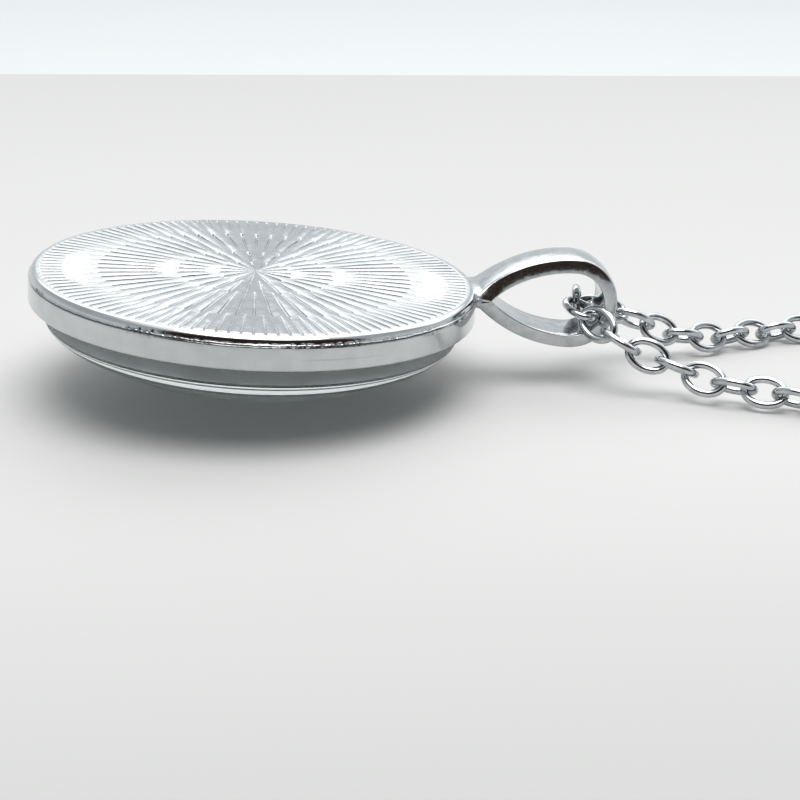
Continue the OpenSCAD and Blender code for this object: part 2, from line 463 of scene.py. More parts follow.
class Skin:
    """Vertices and faces of one mesh, in millimetres, joined up row by row."""

    def __init__(self) -> None:
        """Starts with nothing."""
        self.points: list[np.ndarray] = []
        self.faces: list[tuple[int, ...]] = []
        self.marks: dict[str, list[np.ndarray]] = {SHADE_AND_TARNISH: [], FILL: []}
        self.count = 0

    def row(self, points: np.ndarray, shade_and_tarnish: np.ndarray | float = 0.0, fill: float = 0.0) -> np.ndarray:
        """Adds points.

        Args:
            points: Their places, one row each.
            shade_and_tarnish: How dark each is painted, with painted shade and tarnish, from 0 to 1.
            fill: How far out each moves where the parting line is filled, in millimetres.

        Returns:
            Their numbers in the mesh.
        """
        self.points.append(np.asarray(points, float).reshape(-1, 3))
        first = self.count
        self.count += len(self.points[-1])
        for name, value in ((SHADE_AND_TARNISH, shade_and_tarnish), (FILL, fill)):
            self.marks[name].append(np.zeros(self.count - first) + value)
        return np.arange(first, self.count)

    def bridge(self, a: np.ndarray, b: np.ndarray, closed: bool) -> None:
        """Joins two rows of as many points by four-sided faces.

        Args:
            a: The first row's numbers.
            b: The second row's.
            closed: Whether they are rings.
        """
        if closed:
            a, b = np.append(a, a[0]), np.append(b, b[0])
        self.faces += [(a[i], b[i], b[i + 1], a[i + 1]) for i in range(len(a) - 1)]

    def zip(self, a: np.ndarray, angle_a: np.ndarray, b: np.ndarray, angle_b: np.ndarray) -> None:
        """Joins two rows by triangles, whatever their numbers of points.

        Args:
            a: The first row's numbers.
            angle_a: The angle of each of its points.
            b: The second row's numbers.
            angle_b: The angle of each of its points.
        """
        i = j = 0
        while i < len(a) - 1 or j < len(b) - 1:
            if j == len(b) - 1 or (i < len(a) - 1 and angle_a[i + 1] < angle_b[j + 1]):
                self.faces.append((a[i], b[j], a[i + 1]))
                i += 1
            else:
                self.faces.append((a[i], b[j], b[j + 1]))
                j += 1

    def fan(self, centre: int, ring: np.ndarray, closed: bool) -> None:
        """Joins a ring of points to one point, in the ring's own order.

        Args:
            centre: The one point's number.
            ring: The ring's numbers.
            closed: Whether the ring goes all round.
        """
        if closed:
            ring = np.append(ring, ring[0])
        self.faces += [(centre, ring[i], ring[i + 1]) for i in range(len(ring) - 1)]

    def mesh(self, name: str, place: Matrix | None = None) -> bpy.types.Mesh:
        """Makes a smooth Blender mesh of it.

        Args:
            name: The mesh's name.
            place: Where it goes, in metres.

        Returns:
            The mesh.
        """
        mesh = bpy.data.meshes.new(name)
        faces = [tuple(map(int, face)) for face in self.faces]
        mesh.from_pydata((np.concatenate(self.points) * MM).tolist(), [], faces)
        if place is not None:
            mesh.transform(place)
        for mark, rows in self.marks.items():
            values = np.concatenate(rows)
            if values.any():
                add_mark(mesh, mark, values)
        mesh.polygons.foreach_set("use_smooth", np.ones(len(mesh.polygons), bool))
        mesh.update()
        return mesh


def add_object(name: str, mesh: bpy.types.Mesh, *materials: bpy.types.Material) -> bpy.types.Object:
    """Puts a mesh in the scene.

    Args:
        name: The object's name.
        mesh: Its mesh.
        materials: Its materials, in order.

    Returns:
        The object.
    """
    made = bpy.data.objects.new(name, mesh)
    bpy.context.scene.collection.objects.link(made)
    used = np.empty(len(mesh.polygons), np.int32)
    mesh.polygons.foreach_get("material_index", used)
    mesh.materials.clear()
    for material in materials:
        mesh.materials.append(material)
    mesh.polygons.foreach_set("material_index", used)
    return made


class GeometryTree(Tree):
    """A geometry tree with named inputs."""

    KINDS = {"geometry": "NodeSocketGeometry", "float": "NodeSocketFloat", "int": "NodeSocketInt",
             "material": "NodeSocketMaterial"}

    def __init__(self, name: str, inputs: dict[str, str]) -> None:
        """Makes a tree.

        Args:
            name: Its name.
            inputs: Its inputs' names, each with one of KINDS.
        """
        super().__init__(bpy.data.node_groups.new(name, "GeometryNodeTree"))
        for label, kind in inputs.items():
            self.tree.interface.new_socket(label, in_out="INPUT", socket_type=self.KINDS[kind])
        self.tree.interface.new_socket("Geometry", in_out="OUTPUT", socket_type="NodeSocketGeometry")
        self.given = self.add("NodeGroupInput").outputs

    def close(self, shape: bpy.types.NodeSocket) -> None:
        """Ends the tree: makes the copies real, smooths the faces and sets the material.

        Args:
            shape: What comes out.
        """
        real = self.add("GeometryNodeRealizeInstances", {"Geometry": shape}).outputs[0]
        smooth = self.add("GeometryNodeSetShadeSmooth", {"Geometry": real}).outputs[0]
        dressed = self.add("GeometryNodeSetMaterial", {
            "Geometry": smooth, "Material": self.given["Material"]})
        self.add("NodeGroupOutput", {0: dressed.outputs[0]})

    def grow(self, name: str, mesh: bpy.types.Mesh, values: dict[str, object]) -> bpy.types.Mesh:
        """Runs the tree on a mesh.

        Args:
            name: Name of the mesh that comes out.
            mesh: The mesh that goes in.
            values: The tree's inputs, by name.

        Returns:
            The finished mesh, with no modifier.
        """
        carrier = add_object(name + "_plan", mesh)
        modifier = carrier.modifiers.new("grow", "NODES")
        modifier.node_group = self.tree
        for item in self.tree.interface.items_tree:
            if item.in_out == "INPUT" and item.name in values:
                modifier[item.identifier] = values[item.name]
        carrier.update_tag()
        bpy.context.view_layer.update()
        drawn = carrier.evaluated_get(bpy.context.evaluated_depsgraph_get())
        grown = bpy.data.meshes.new_from_object(drawn)
        grown.name = name
        bpy.data.objects.remove(carrier)
        return grown


def sector_array() -> GeometryTree:
    """Makes the tree that repeats one sector of the tray round its axis and roughens it a little.

    Returns:
        The tree.
    """
    tree = GeometryTree("sectors_round_an_axis", {
        "Geometry": "geometry", "Sectors": "int", "Weld Distance": "float", "Unevenness": "float",
        "Lump Size": "float", "Seed": "int", "Material": "material"})
    given = tree.given
    centres = tree.add("GeometryNodePoints", {"Count": given["Sectors"]}).outputs[0]
    index = tree.add("GeometryNodeInputIndex").outputs[0]
    step = tree.math("DIVIDE", math.tau, given["Sectors"])
    turn = tree.add("ShaderNodeCombineXYZ", {"Z": tree.math("MULTIPLY", index, step)}).outputs[0]
    copies = tree.add("GeometryNodeInstanceOnPoints", {
        "Points": centres, "Instance": given["Geometry"], "Rotation": turn}).outputs[0]
    real = tree.add("GeometryNodeRealizeInstances", {"Geometry": copies}).outputs[0]
    welded = tree.add("GeometryNodeMergeByDistance", {
        "Geometry": real, "Distance": given["Weld Distance"]}).outputs[0]
    lumps = tree.add("ShaderNodeTexNoise", {
        "W": given["Seed"], "Scale": tree.math("DIVIDE", 1.0, given["Lump Size"]), "Detail": 2.0},
        noise_dimensions="4D").outputs["Fac"]
    height = tree.math("MULTIPLY", tree.math("SUBTRACT", lumps, 0.5), given["Unevenness"])
    lift = tree.add("ShaderNodeCombineXYZ", {"Z": height}).outputs[0]
    uneven = tree.add("GeometryNodeSetPosition", {"Geometry": welded, "Offset": lift}).outputs[0]
    tree.close(uneven)
    return tree


def chain_on_a_way() -> GeometryTree:
    """Makes the tree that strings links along a way, each a quarter turn on from the last.

    Returns:
        The tree.
    """
    tree = GeometryTree("links_on_a_way", {
        "Geometry": "geometry", "Links": "int", "First Quarter": "int", "Half Length": "float",
        "Half Width": "float", "Wire Radius": "float", "Fine Links": "int", "Material": "material"})
    given = tree.given
    way = tree.add("GeometryNodeMeshToCurve", {"Mesh": given["Geometry"]}).outputs[0]
    strung = tree.add("GeometryNodeCurveToPoints", {"Curve": way, "Count": given["Links"]}, mode="COUNT")
    heading = tree.add("ShaderNodeSeparateXYZ", {0: strung.outputs["Tangent"]}).outputs
    index = tree.add("GeometryNodeInputIndex").outputs[0]
    turn = tree.add("GeometryNodeInputNamedAttribute", {"Name": TURN}, data_type="FLOAT").outputs[0]
    quarter = tree.math("MODULO", tree.math("ADD", index, given["First Quarter"]), 2.0)
    roll = tree.math("SUBTRACT", turn, tree.math("MULTIPLY", quarter, math.pi / 2))
    pitch = tree.math("MULTIPLY", tree.math("ARCSINE", heading[2]), -1.0)
    yaw = tree.math("ARCTAN2", heading[1], heading[0])
    rotation = tree.add("ShaderNodeCombineXYZ", {"X": roll, "Y": pitch, "Z": yaw}).outputs[0]
    size = tree.add("ShaderNodeCombineXYZ", {
        "X": given["Half Length"], "Y": given["Half Width"], "Z": 1.0}).outputs[0]
    kinds = []
    for round_link, round_wire in LINK_STEPS:
        circle = tree.add("GeometryNodeCurvePrimitiveCircle", {
            "Resolution": round_link, "Radius": 1.0}).outputs[0]
        oval = tree.add("GeometryNodeTransform", {"Geometry": circle, "Scale": size}).outputs[0]
        wire = tree.add("GeometryNodeCurvePrimitiveCircle", {
            "Resolution": round_wire, "Radius": given["Wire Radius"]}).outputs[0]
        link = tree.add("GeometryNodeCurveToMesh", {"Curve": oval, "Profile Curve": wire}).outputs[0]
        kinds.append(tree.add("GeometryNodeGeometryToInstance", {"Geometry": link}).outputs[0])
    both = tree.add("GeometryNodeJoinGeometry")
    for kind in reversed(kinds):
        tree.tree.links.new(kind, both.inputs[0])
    coarse = tree.add("FunctionNodeCompare", {
        "A": index, "B": given["Fine Links"]}, data_type="INT", operation="GREATER_EQUAL").outputs[0]
    links = tree.add("GeometryNodeInstanceOnPoints", {
        "Points": strung.outputs["Points"], "Instance": both.outputs[0], "Rotation": rotation,
        "Pick Instance": True, "Instance Index": coarse}).outputs[0]
    tree.close(links)
    return tree


@dataclass(frozen=True)
class Rest:
    """How the pendant lies: on its glass, leaned down to its bail."""

    lean: float = 4.1
    tray_height: float = 2.0
    glass_rise: float = 5.2
    crown_radius: float = 22.4

    def matrix(self) -> Matrix:
        """Takes the pendant's own frame, with its back at z = 0, to its place on the table.

        Returns:
            The matrix, in metres.
        """
        lean = math.radians(self.lean)
        crown_z = self.crown_radius - self.tray_height - self.glass_rise
        middle = Vector((-crown_z * math.sin(lean), 0, self.crown_radius - crown_z * math.cos(lean)))
        return Matrix.Translation(middle * MM) @ Matrix.Rotation(lean, 4, "Y")


@dataclass(frozen=True)
class RayRing:
    """One ring of the sunburst. Its grooves deepen outwards by the power that deepening gives."""

    start: float
    end: float
    rays: int
    depth: float
    deepening: float
    open_end: bool = False


@dataclass(frozen=True)
class Flaw:
    """A rough patch on the rim's parting line, darkened with patchy painted shade and tarnish.

    Its azimuth is its place round the rim, in degrees from the side that faces -Y. Its lumps pair a
    share with how close together they are, and its tarnish_and_shade is the least of its patchy painted
    shade and tarnish and its gain.
    """

    azimuth: float
    reach: float
    depth: float
    dark: float
    even: float = 0.0
    grip: float = 3.0
    lumps: tuple[FlatPoint, ...] = ((1.0, 5.0), (0.6, 13.0))
    lift: float = 0.5
    lift_lumps: float = 7.0
    lift_start: Point = (9.0, 0.0, 0.0)
    tarnish_and_shade: FlatPoint = (0.2, 2.2)

    def press(self, place: Vector, azimuth: float, weight: float) -> tuple[float, float, float]:
        """Presses a point of the rim.

        Args:
            place: The point.
            azimuth: Its azimuth.
            weight: How near the parting line it is, from 0 to 1.

        Returns:
            How far out and up it moves, and how dark it is painted with shade and tarnish.
        """
        near = 1 - abs(azimuth - self.azimuth) / self.reach
        if near <= 0:
            return 0.0, 0.0, 0.0
        grip = min(1.0, self.grip * near) * weight
        spot = sum(share * noise.noise(place * dense) for share, dense in self.lumps)
        up = self.lift * self.depth * grip * noise.noise(place * self.lift_lumps + Vector(self.lift_start))
        least, gain = self.tarnish_and_shade
        tarnish_and_shade = self.even + (1 - self.even) * max(0.0, gain * spot + least)
        return self.depth * grip * spot, up, self.dark * grip * tarnish_and_shade


@dataclass(frozen=True)
class Seam:
    """The casting's parting line round the rim, clear in its spans of azimuth and polished off between them.

    Its rows are measured inwards from the tray's side and down from the foot of the rim's rounding, the
    foot's row outwards from that foot. With each goes how dark it is painted with shade in the crease and
    how far its line was filled.
    """

    foot_row: RimRow = (0.03, 0.008, 0.0, 0.02)
    rows: tuple[RimRow, ...] = (
        (0.04, 0.025, 0.0, 0.01), (0.026, 0.05, 0.3, 0.005), (0.04, 0.07, 1.0, 0.02),
        (0.06, 0.1, 1.0, 0.045), (0.045, 0.125, 0.8, 0.03), (0.005, 0.16, 0.0, 0.0), (0.0, 0.2, 0.0, 0.0))
    spans: tuple[FlatPoint, ...] = ((-76, 56), (92, 135), (-165, -120))
    fade: float = 4.0
    z: float = -0.5
    half: float = 0.12
    swings: tuple[FlatPoint, ...] = ((0.03, 0.45), (0.02, 1.7))
    swing_row: float = 4.0
    least: float = 0.3

    def strength(self, azimuth: np.ndarray) -> np.ndarray:
        """How clear the line is at each azimuth.

        Args:
            azimuth: Places round the rim, in degrees.

        Returns:
            A share from 0 to 1 for each.
        """
        shown = np.zeros(len(azimuth))
        for first, last in self.spans:
            inside = np.minimum(azimuth - first, last - azimuth) / self.fade
            shown = np.maximum(shown, np.clip(inside, 0, 1))
        return shown

    def nearness(self, z: float) -> float:
        """How near the line a height is, from 0 to 1."""
        return math.exp(-((z - self.z) / self.half) ** 2)

    def swing(self, azimuth: float, shown: float) -> float:
        """How far up the ragged line runs at an azimuth, where it is as clear as given."""
        place = Vector((azimuth, 0.0, self.swing_row))
        return sum(high * noise.noise(place * dense) for high, dense in self.swings) * (self.least + shown)


@dataclass(frozen=True)
class Scratch:
    """One fine scratch along a stretch of the tray's side, on three rows kept for it."""

    z: float = -1.3
    wide: float = 0.022
    row_reach: float = 1.7
    cut_reach: float = 0.5
    fall: float = -0.002
    fall_reach: float = 24.0
    start: float = 10.0
    end: float = 38.0
    fade: float = 6.0
    depth: float = 0.008
    # How dark the cut is painted, on the painted shade and tarnish mark.
    dark: float = 0.15

    def rows(self) -> list[float]:
        """Heights of its rows."""
        return [self.z + step for step in (self.wide, 0.0, -self.wide)]

    def score(self, z: np.ndarray, azimuth: np.ndarray, outward: np.ndarray, shade_and_tarnish: np.ndarray) -> None:
        """Scores the scratch into points of the side, all changed in place.

        Args:
            z: Their heights.
            azimuth: Their azimuths, which stay.
            outward: How far each moves out.
            shade_and_tarnish: How dark each is painted, with painted shade and tarnish.
        """
        off = np.abs(z - self.z)
        kept = off < self.row_reach * self.wide
        fade = np.clip(np.minimum(azimuth - self.start, self.end - azimuth) / self.fade, 0, 1)
        deep = fade * (off < self.cut_reach * self.wide)
        outward -= self.depth * deep
        np.maximum(shade_and_tarnish, self.dark * deep, out=shade_and_tarnish)
        middle = (self.start + self.end) / 2
        z += kept * self.fall * np.clip(azimuth - middle, -self.fall_reach, self.fall_reach)


@dataclass
class Tray:
    """The cast tray: rayed back, rounded rim with its parting line, side, lip and the seat for the glass.

    The shares are the places of a ring's rows along it, and the tip's rows are measured from its end.
    A groove's section pairs places across it with depths, both as shares of the groove's own.
    A bend of the rim is the slope at which it ends, its steps and its radius.
    """

    diameter: float = 27.0
    height: float = 2.0
    floor: float = 0.7
    lip_round: float = 0.15
    lip_turns: int = 4
    seat_radius: float = 12.55
    seat_edge: float = 0.05
    corner: float = 0.02
    side_rows: FlatPoint = (-0.85, -1.45)
    under_steps: int = 48
    burst_radius: float = 13.0
    sectors: int = 15
    weld: float = 0.004
    rings: tuple[RayRing, ...] = (
        RayRing(0.3, 2.34, 15, 0.08, 0.6), RayRing(2.34, 4.81, 30, 0.1, 0.75),
        RayRing(4.81, 9.48, 60, 0.12, 0.8), RayRing(9.48, 13.0, 120, 0.065, 1.15, True))
    shares: tuple[float, ...] = (0.02, 0.1, 0.2, 0.33, 0.48, 0.64, 0.8, 0.91)
    groove_half: float = 0.12
    groove_share: float = 0.29
    groove_section: tuple[FlatPoint, ...] = ((0.0, 1.0), (0.52, 0.97), (0.8, 0.08), (1.08, 0.0))
    first_depth: float = 0.03
    end_run: float = 0.2
    # Painted shade and tarnish in the grooves, as a share of their depth.
    groove_shade_and_tarnish: float = 0.12
    bar_slope: float = 0.28
    bar_power: float = 1.6
    bar_start: float = 0.4
    tip_run: float = 0.14
    tip_back: float = 0.17
    tip_clear: float = 0.3
    tip_rows: tuple[float, ...] = (-0.26, -0.21, -0.165, -0.12, -0.08, -0.04, 0.0, 0.04)
    rim_bends: tuple[tuple[float, int, float], ...] = ((57, 7, 0.345), (86, 6, 0.53))
    worn_heights: FlatPoint = (-0.75, -0.15)
    worn_from: float = 0.1
    side_margin: float = 0.05
    seam: Seam = Seam()
    scratch: Scratch = Scratch()
    flaws: tuple[Flaw, ...] = (
        Flaw(-27, 4.5, 0.08, 1.0, 0.5), Flaw(-11, 12, 0.01, 0.85, 0.8), Flaw(3, 3, 0.02, 0.5, 0.3),
        Flaw(13, 4.5, 0.045, 0.9, 0.3), Flaw(22, 5, 0.035, 0.85, 0.4), Flaw(34, 2.5, 0.06, 0.5),
        Flaw(47, 5, 0.03, 0.3), Flaw(-66, 4, 0.06, 0.7, 0.3), Flaw(120, 9, 0.04, 0.5),
        Flaw(-140, 6, 0.05, 0.5))
    unevenness: float = 0.016
    lump_size: float = 3.0
    seed: int = 7

    def ray_points(self, radius: float, rays: int) -> np.ndarray:
        """Places one sector's points along a row: close in each groove and wide apart on the bars.

        Args:
            radius: The row's radius.
            rays: How many rays its ring has.

        Returns:
            The angles, lowest first.
        """
        half = math.pi * radius / rays
        groove = self.groove_reach(half)
        bar = half - self.groove_section[-1][0] * groove
        slope = [place * groove for place, _ in self.groove_section]
        side = np.array([*slope, half - bar * 2 / 3, half - bar / 3])
        one = np.concatenate([side, [half], 2 * half - side[:0:-1]])
        count = rays // self.sectors
        rows = [one + 2 * half * i for i in range(count)]
        return np.concatenate([*rows, [2 * half * count]]) / radius

    def groove_reach(self, half: float) -> float:
        """Half width of a groove between bars of the given half width, in millimetres."""
        return min(self.groove_half, self.groove_share * half)

    @staticmethod
    def across(radius: float, rays: int, angle: np.ndarray) -> np.ndarray:
        """Distance of each angle's point from the middle of the nearest groove, in millimetres."""
        turn = angle * rays / math.tau
        return np.abs((turn + 0.5) % 1 - 0.5) * math.tau * radius / rays

    def bar_dome(self, radius: float, rays: int, angle: np.ndarray) -> np.ndarray:
        """How far the crown of the bars has fallen.

        Args:
            radius: The row's radius.
            rays: How many rays its ring has.
            angle: The points' angles.

        Returns:
            The fall at each point, in millimetres.
        """
        half = math.pi * radius / rays
        phase = 1 - self.across(radius, rays, angle) / half
        return self.bar_slope * half / self.bar_power * np.clip(phase, 0, 1) ** self.bar_power

    def ray_height(self, number: int, radius: float, angle: np.ndarray) -> tuple[np.ndarray, np.ndarray]:
        """Height and painted shade and tarnish of the rayed back along one row.

        Args:
            number: Which ring of rays.
            radius: The row's radius.
            angle: The angles of its points.

        Returns:
            The height of each point and how dark it is painted, with painted shade and tarnish in the
            grooves.
        """
        ring = self.rings[number]
        share = (radius - ring.start) / (ring.end - ring.start)
        grown = min(1.0, share / self.bar_start)
        height = -grown * self.bar_dome(radius, ring.rays, angle)
        if number:
            height -= (1 - grown) * self.bar_dome(radius, self.rings[number - 1].rays, angle)
        half = math.pi * radius / ring.rays
        across = self.across(radius, ring.rays, angle)
        deepened = self.first_depth + (1 - self.first_depth) * min(share, 1.0) ** ring.deepening
        if not ring.open_end:
            deepened *= min(1.0, (ring.end - radius) / self.end_run)
        groove = deepened * np.interp(across / self.groove_reach(half), *zip(*self.groove_section))
        past = self.past_tip(ring, radius, across / half) if ring.open_end else 0.0
        height = (height - ring.depth * groove) * (1 - past) - ring.depth * past
        return height, self.groove_shade_and_tarnish * groove * (1 - past)

    def past_tip(self, ring: RayRing, radius: float, phase: np.ndarray) -> np.ndarray:
        """How far a row is past the soft ends of the outer rays.

        Args:
            ring: The outer ring.
            radius: The row's radius.
            phase: Each point's place, from 0 in a groove to 1 on the middle of a bar.

        Returns:
            A share from 0 to 1 for each point.
        """
        tip = ring.end - self.tip_run - self.tip_back * (1 - phase) ** 2
        past = np.clip((radius - tip) / self.tip_run, 0, 1)
        return past * past * (3 - 2 * past)

    def ring_radii(self, ring: RayRing) -> list[float]:
        """Sets the rows of a ring.

        Args:
            ring: The ring.

        Returns:
            The radii, smallest first.
        """
        length = ring.end - ring.start
        clear = self.tip_clear if ring.open_end else self.end_run
        body = [ring.start + length * share for share in self.shares if length * (1 - share) > clear]
        if ring.open_end:
            return body + [ring.end + step for step in self.tip_rows]
        return body + [ring.end - self.end_run, ring.end - self.end_run / 2, ring.end]

    def sector(self) -> bpy.types.Mesh:
        """Makes one sector of the tray, from the middle of its back round the rim to that of its floor.

        Returns:
            The sector's mesh.
        """
        skin = Skin()
        middle = skin.row(np.zeros((1, 3)))[0]
        last = None
        for number, ring in enumerate(self.rings):
            for radius in self.ring_radii(ring):
                angle = self.ray_points(radius, ring.rays)
                height, dark = self.ray_height(number, radius, angle)
                row = skin.row(self.round_points(radius, angle, height), dark)
                if last is None:
                    skin.fan(middle, row, False)
                elif len(row) == len(last[0]):
                    skin.bridge(last[0], row, False)
                else:
                    skin.zip(*last, row, angle)
                last = (row, angle)
        angle = last[1]
        for radius, z, dark, fill in self.rim_profile():
            row = skin.row(self.round_points(radius, angle, z), dark, fill)
            skin.bridge(last[0], row, False)
            last = (row, angle)
        for radius, z, steps in self.under_profile():
            angle = np.linspace(0, math.tau / self.sectors, steps + 1)
            row = skin.row(self.round_points(radius, angle, z))
            skin.zip(*last, row, angle)
            last = (row, angle)
        floor = skin.row(np.array([[0, 0, -self.floor]]))[0]
        skin.fan(floor, last[0][::-1], False)
        return skin.mesh("tray_sector")

    @staticmethod
    def round_points(radius: float, angle: np.ndarray, z: np.ndarray | float) -> np.ndarray:
        """Places of a row's points at a radius and a height, or a height for each."""
        return np.stack([radius * np.cos(angle), radius * np.sin(angle), np.zeros(len(angle)) + z], axis=1)

    def rim_profile(self) -> list[RimRow]:
        """Works out the rows of the rim's rounding, its parting line and its side.

        Returns:
            Radius, height, painted shade and fill of each row.
        """
        place = np.array([self.burst_radius + self.tip_rows[-1], -self.rings[-1].depth])
        rows, turned = [], 0.0
        for last, turns, bend in self.rim_bends:
            step = math.radians(last - turned) / turns
            for i in range(turns):
                a = math.radians(turned) + (i + 0.5) * step
                place = place + np.array([math.cos(a), -math.sin(a)]) * bend * step
                rows.append((*place, 0.0, 0.0))
            turned = last
        foot, under = rows[-1][:2]
        out, down, dark, fill = self.seam.foot_row
        rows.append((foot + out, under - down, dark, fill))
        side = self.diameter / 2
        rows += [(side - inward, under - down, dark, fill) for inward, down, dark, fill in self.seam.rows]
        return rows + [(side, z, 0.0, 0.0) for z in (self.side_rows[0], *self.scratch.rows())]

    def under_profile(self) -> list[tuple[float, float, int]]:
        """Works out the rows from the side to the floor under the glass.

        Returns:
            Radius, height and steps of each row.
        """
        side, lip, seat = self.diameter / 2, self.lip_round, self.seat_radius
        rows = [(side, self.side_rows[1]), (side, -self.height + lip + self.corner)]
        for i in range(self.lip_turns + 1):
            a = math.pi / 2 * i / self.lip_turns
            rows.append((side - lip + lip * math.cos(a), -self.height + lip - lip * math.sin(a)))
        rows += [(seat + self.seat_edge, -self.height), (seat, -self.height + self.seat_edge),
                 (seat, -self.floor - self.corner), (seat - self.corner, -self.floor)]
        under = [(radius, z, self.under_steps) for radius, z in rows]
        return under + [(seat / 2, -self.floor, self.under_steps // 2)]

    def mesh(self, metal: bpy.types.Material) -> bpy.types.Mesh:
        """Makes the whole tray from its sector, in its own frame, and wears its rim.

        Args:
            metal: The first of its materials.

        Returns:
            The tray's mesh.
        """
        grown = sector_array().grow("tray", self.sector(), {
            "Sectors": self.sectors, "Weld Distance": self.weld * MM, "Unevenness": self.unevenness * MM,
            "Lump Size": self.lump_size * MM, "Seed": self.seed, "Material": metal})
        self.wear_rim(grown)
        return grown

    def wear_rim(self, mesh: bpy.types.Mesh) -> None:
        """Makes the parting line ragged and fades it with its painted shade, and presses in the flaws and
        the scratch with their painted shade and tarnish.

        Args:
            mesh: The whole tray, changed in place.
        """
        points = np.empty(len(mesh.vertices) * 3)
        mesh.vertices.foreach_get("co", points)
        points = points.reshape(-1, 3) / MM
        shade_and_tarnish, fill = read_mark(mesh, SHADE_AND_TARNISH), read_mark(mesh, FILL)
        radius = np.hypot(points[:, 0], points[:, 1])
        azimuth = np.degrees(np.arctan2(points[:, 0], -points[:, 1]))
        shown = self.seam.strength(azimuth)
        outward = fill * (1 - shown)
        filled = (fill > 0) & (radius > self.seat_radius)
        # The parting line's painted shade fades where the line is polished off.
        shade_and_tarnish[filled] *= shown[filled]
        low, high = self.worn_heights
        worn = (radius > self.burst_radius + self.worn_from) & (points[:, 2] > low) & (points[:, 2] < high)
        for i in np.nonzero(worn)[0]:
            weight = self.seam.nearness(points[i, 2])
            points[i, 2] += weight * self.seam.swing(float(azimuth[i]), shown[i])
            for flaw in self.flaws:
                out, up, dark = flaw.press(Vector(points[i]), azimuth[i], weight)
                outward[i] += out
                points[i, 2] += up
                shade_and_tarnish[i] = min(1.0, max(shade_and_tarnish[i], dark))
        side = radius > self.diameter / 2 - self.side_margin
        z, out, dark = points[side, 2], outward[side], shade_and_tarnish[side]
        self.scratch.score(z, azimuth[side], out, dark)
        points[side, 2], outward[side], shade_and_tarnish[side] = z, out, dark
        points[:, :2] *= (1 + outward / np.maximum(radius, 1))[:, None]
        mesh.vertices.foreach_set("co", (points * MM).ravel())
        mesh.attributes[SHADE_AND_TARNISH].data.foreach_set("value", shade_and_tarnish)
        mesh.update()


@dataclass
class Bail:
    """The fixed teardrop bail: a strip from the tray out, round and back, with sloped sides and a crown."""

    length: float = 8.6
    height: float = 5.74
    width: float = 3.5
    thickness: float = 0.92
    crown: float = 0.14
    draft: float = 14.0
    root_height: float = 1.18
    root_x: float = 13.54
    root_z: float = -0.6
    root_into: float = 0.7
    root_tuck: float = 0.1
    edge_round: float = 0.07
    corner: float = 0.02
    face_swell: float = 0.01
    back_tuck: float = 0.015
    flare: float = 0.22
    flare_run: float = 0.6
    long_steps: int = 44
    end_steps: int = 52
    face_steps: int = 15
    back_steps: int = 9

    def way(self) -> list[tuple[float, float, float]]:
        """Works out the way of the strip's outer face.

        Returns:
            x, z and the angle outwards of each place.
        """
        end = self.height / 2
        side_x = self.length - end
        drop = end - self.root_height / 2
        long = (side_x ** 2 + drop ** 2) / (2 * drop)
        sweep = math.asin(side_x / long)
        found = [(-self.root_into, self.root_height / 2 - self.root_tuck, math.pi / 2 + sweep)]
        for i in range(self.long_steps):
            a = math.pi / 2 + sweep * (1 - i / self.long_steps)
            found.append((side_x + long * math.cos(a), end - long + long * math.sin(a), a))
        for i in range(self.end_steps + 1):
            a = math.pi / 2 - math.pi * i / self.end_steps
            found.append((side_x + end * math.cos(a), end * math.sin(a), a))
        mirrored = [(x, -z, -a) for x, z, a in reversed(found[:self.long_steps + 1])]
        return found + mirrored

    def section(self) -> np.ndarray:
        """Works out the strip's section.

        Returns:
            Depth under the outer face and distance across it for each point, going round once.
        """
        deep, rounded, corner = self.thickness, self.edge_round, self.corner
        half_in = self.width / 2
        half_out = half_in - deep * math.tan(math.radians(self.draft))
        across = np.linspace(-half_out + rounded, half_out - rounded, self.face_steps)
        face = [(self.crown * (y / half_in) ** 2, y) for y in across]
        edge = self.crown * (half_out / half_in) ** 2
        side = [(edge + corner, half_out - corner), (edge + rounded, half_out + self.face_swell),
                (deep - rounded, half_in - self.back_tuck), (deep - corner, half_in - corner)]
        back = [(deep, y) for y in np.linspace(half_in - rounded, -half_in + rounded, self.back_steps)]
        return np.array([*face, *side, *back, *((depth, -y) for depth, y in reversed(side))])

    def mesh(self) -> bpy.types.Mesh:
        """Makes the bail in the tray's frame.

        Returns:
            The bail's mesh.
        """
        skin = Skin()
        section = self.section()
        rings = []
        for x, z, a in self.way():
            swell = 1 + self.flare * math.exp(-max(x, 0) / self.flare_run)
            depth, across = section[:, 0], section[:, 1] * swell
            out, up = self.root_x + x - depth * math.cos(a), self.root_z + z - depth * math.sin(a)
            rings.append(skin.row(np.stack([out, across, up], axis=1)))
        for a, b in zip(rings, rings[1:]):
            skin.bridge(a, b, True)
        for ring, turned in ((rings[0], False), (rings[-1], True)):
            points = np.concatenate(skin.points)[ring]
            middle = skin.row(points.mean(axis=0, keepdims=True))[0]
            skin.fan(middle, ring if turned else ring[::-1], True)
        return skin.mesh("bail")


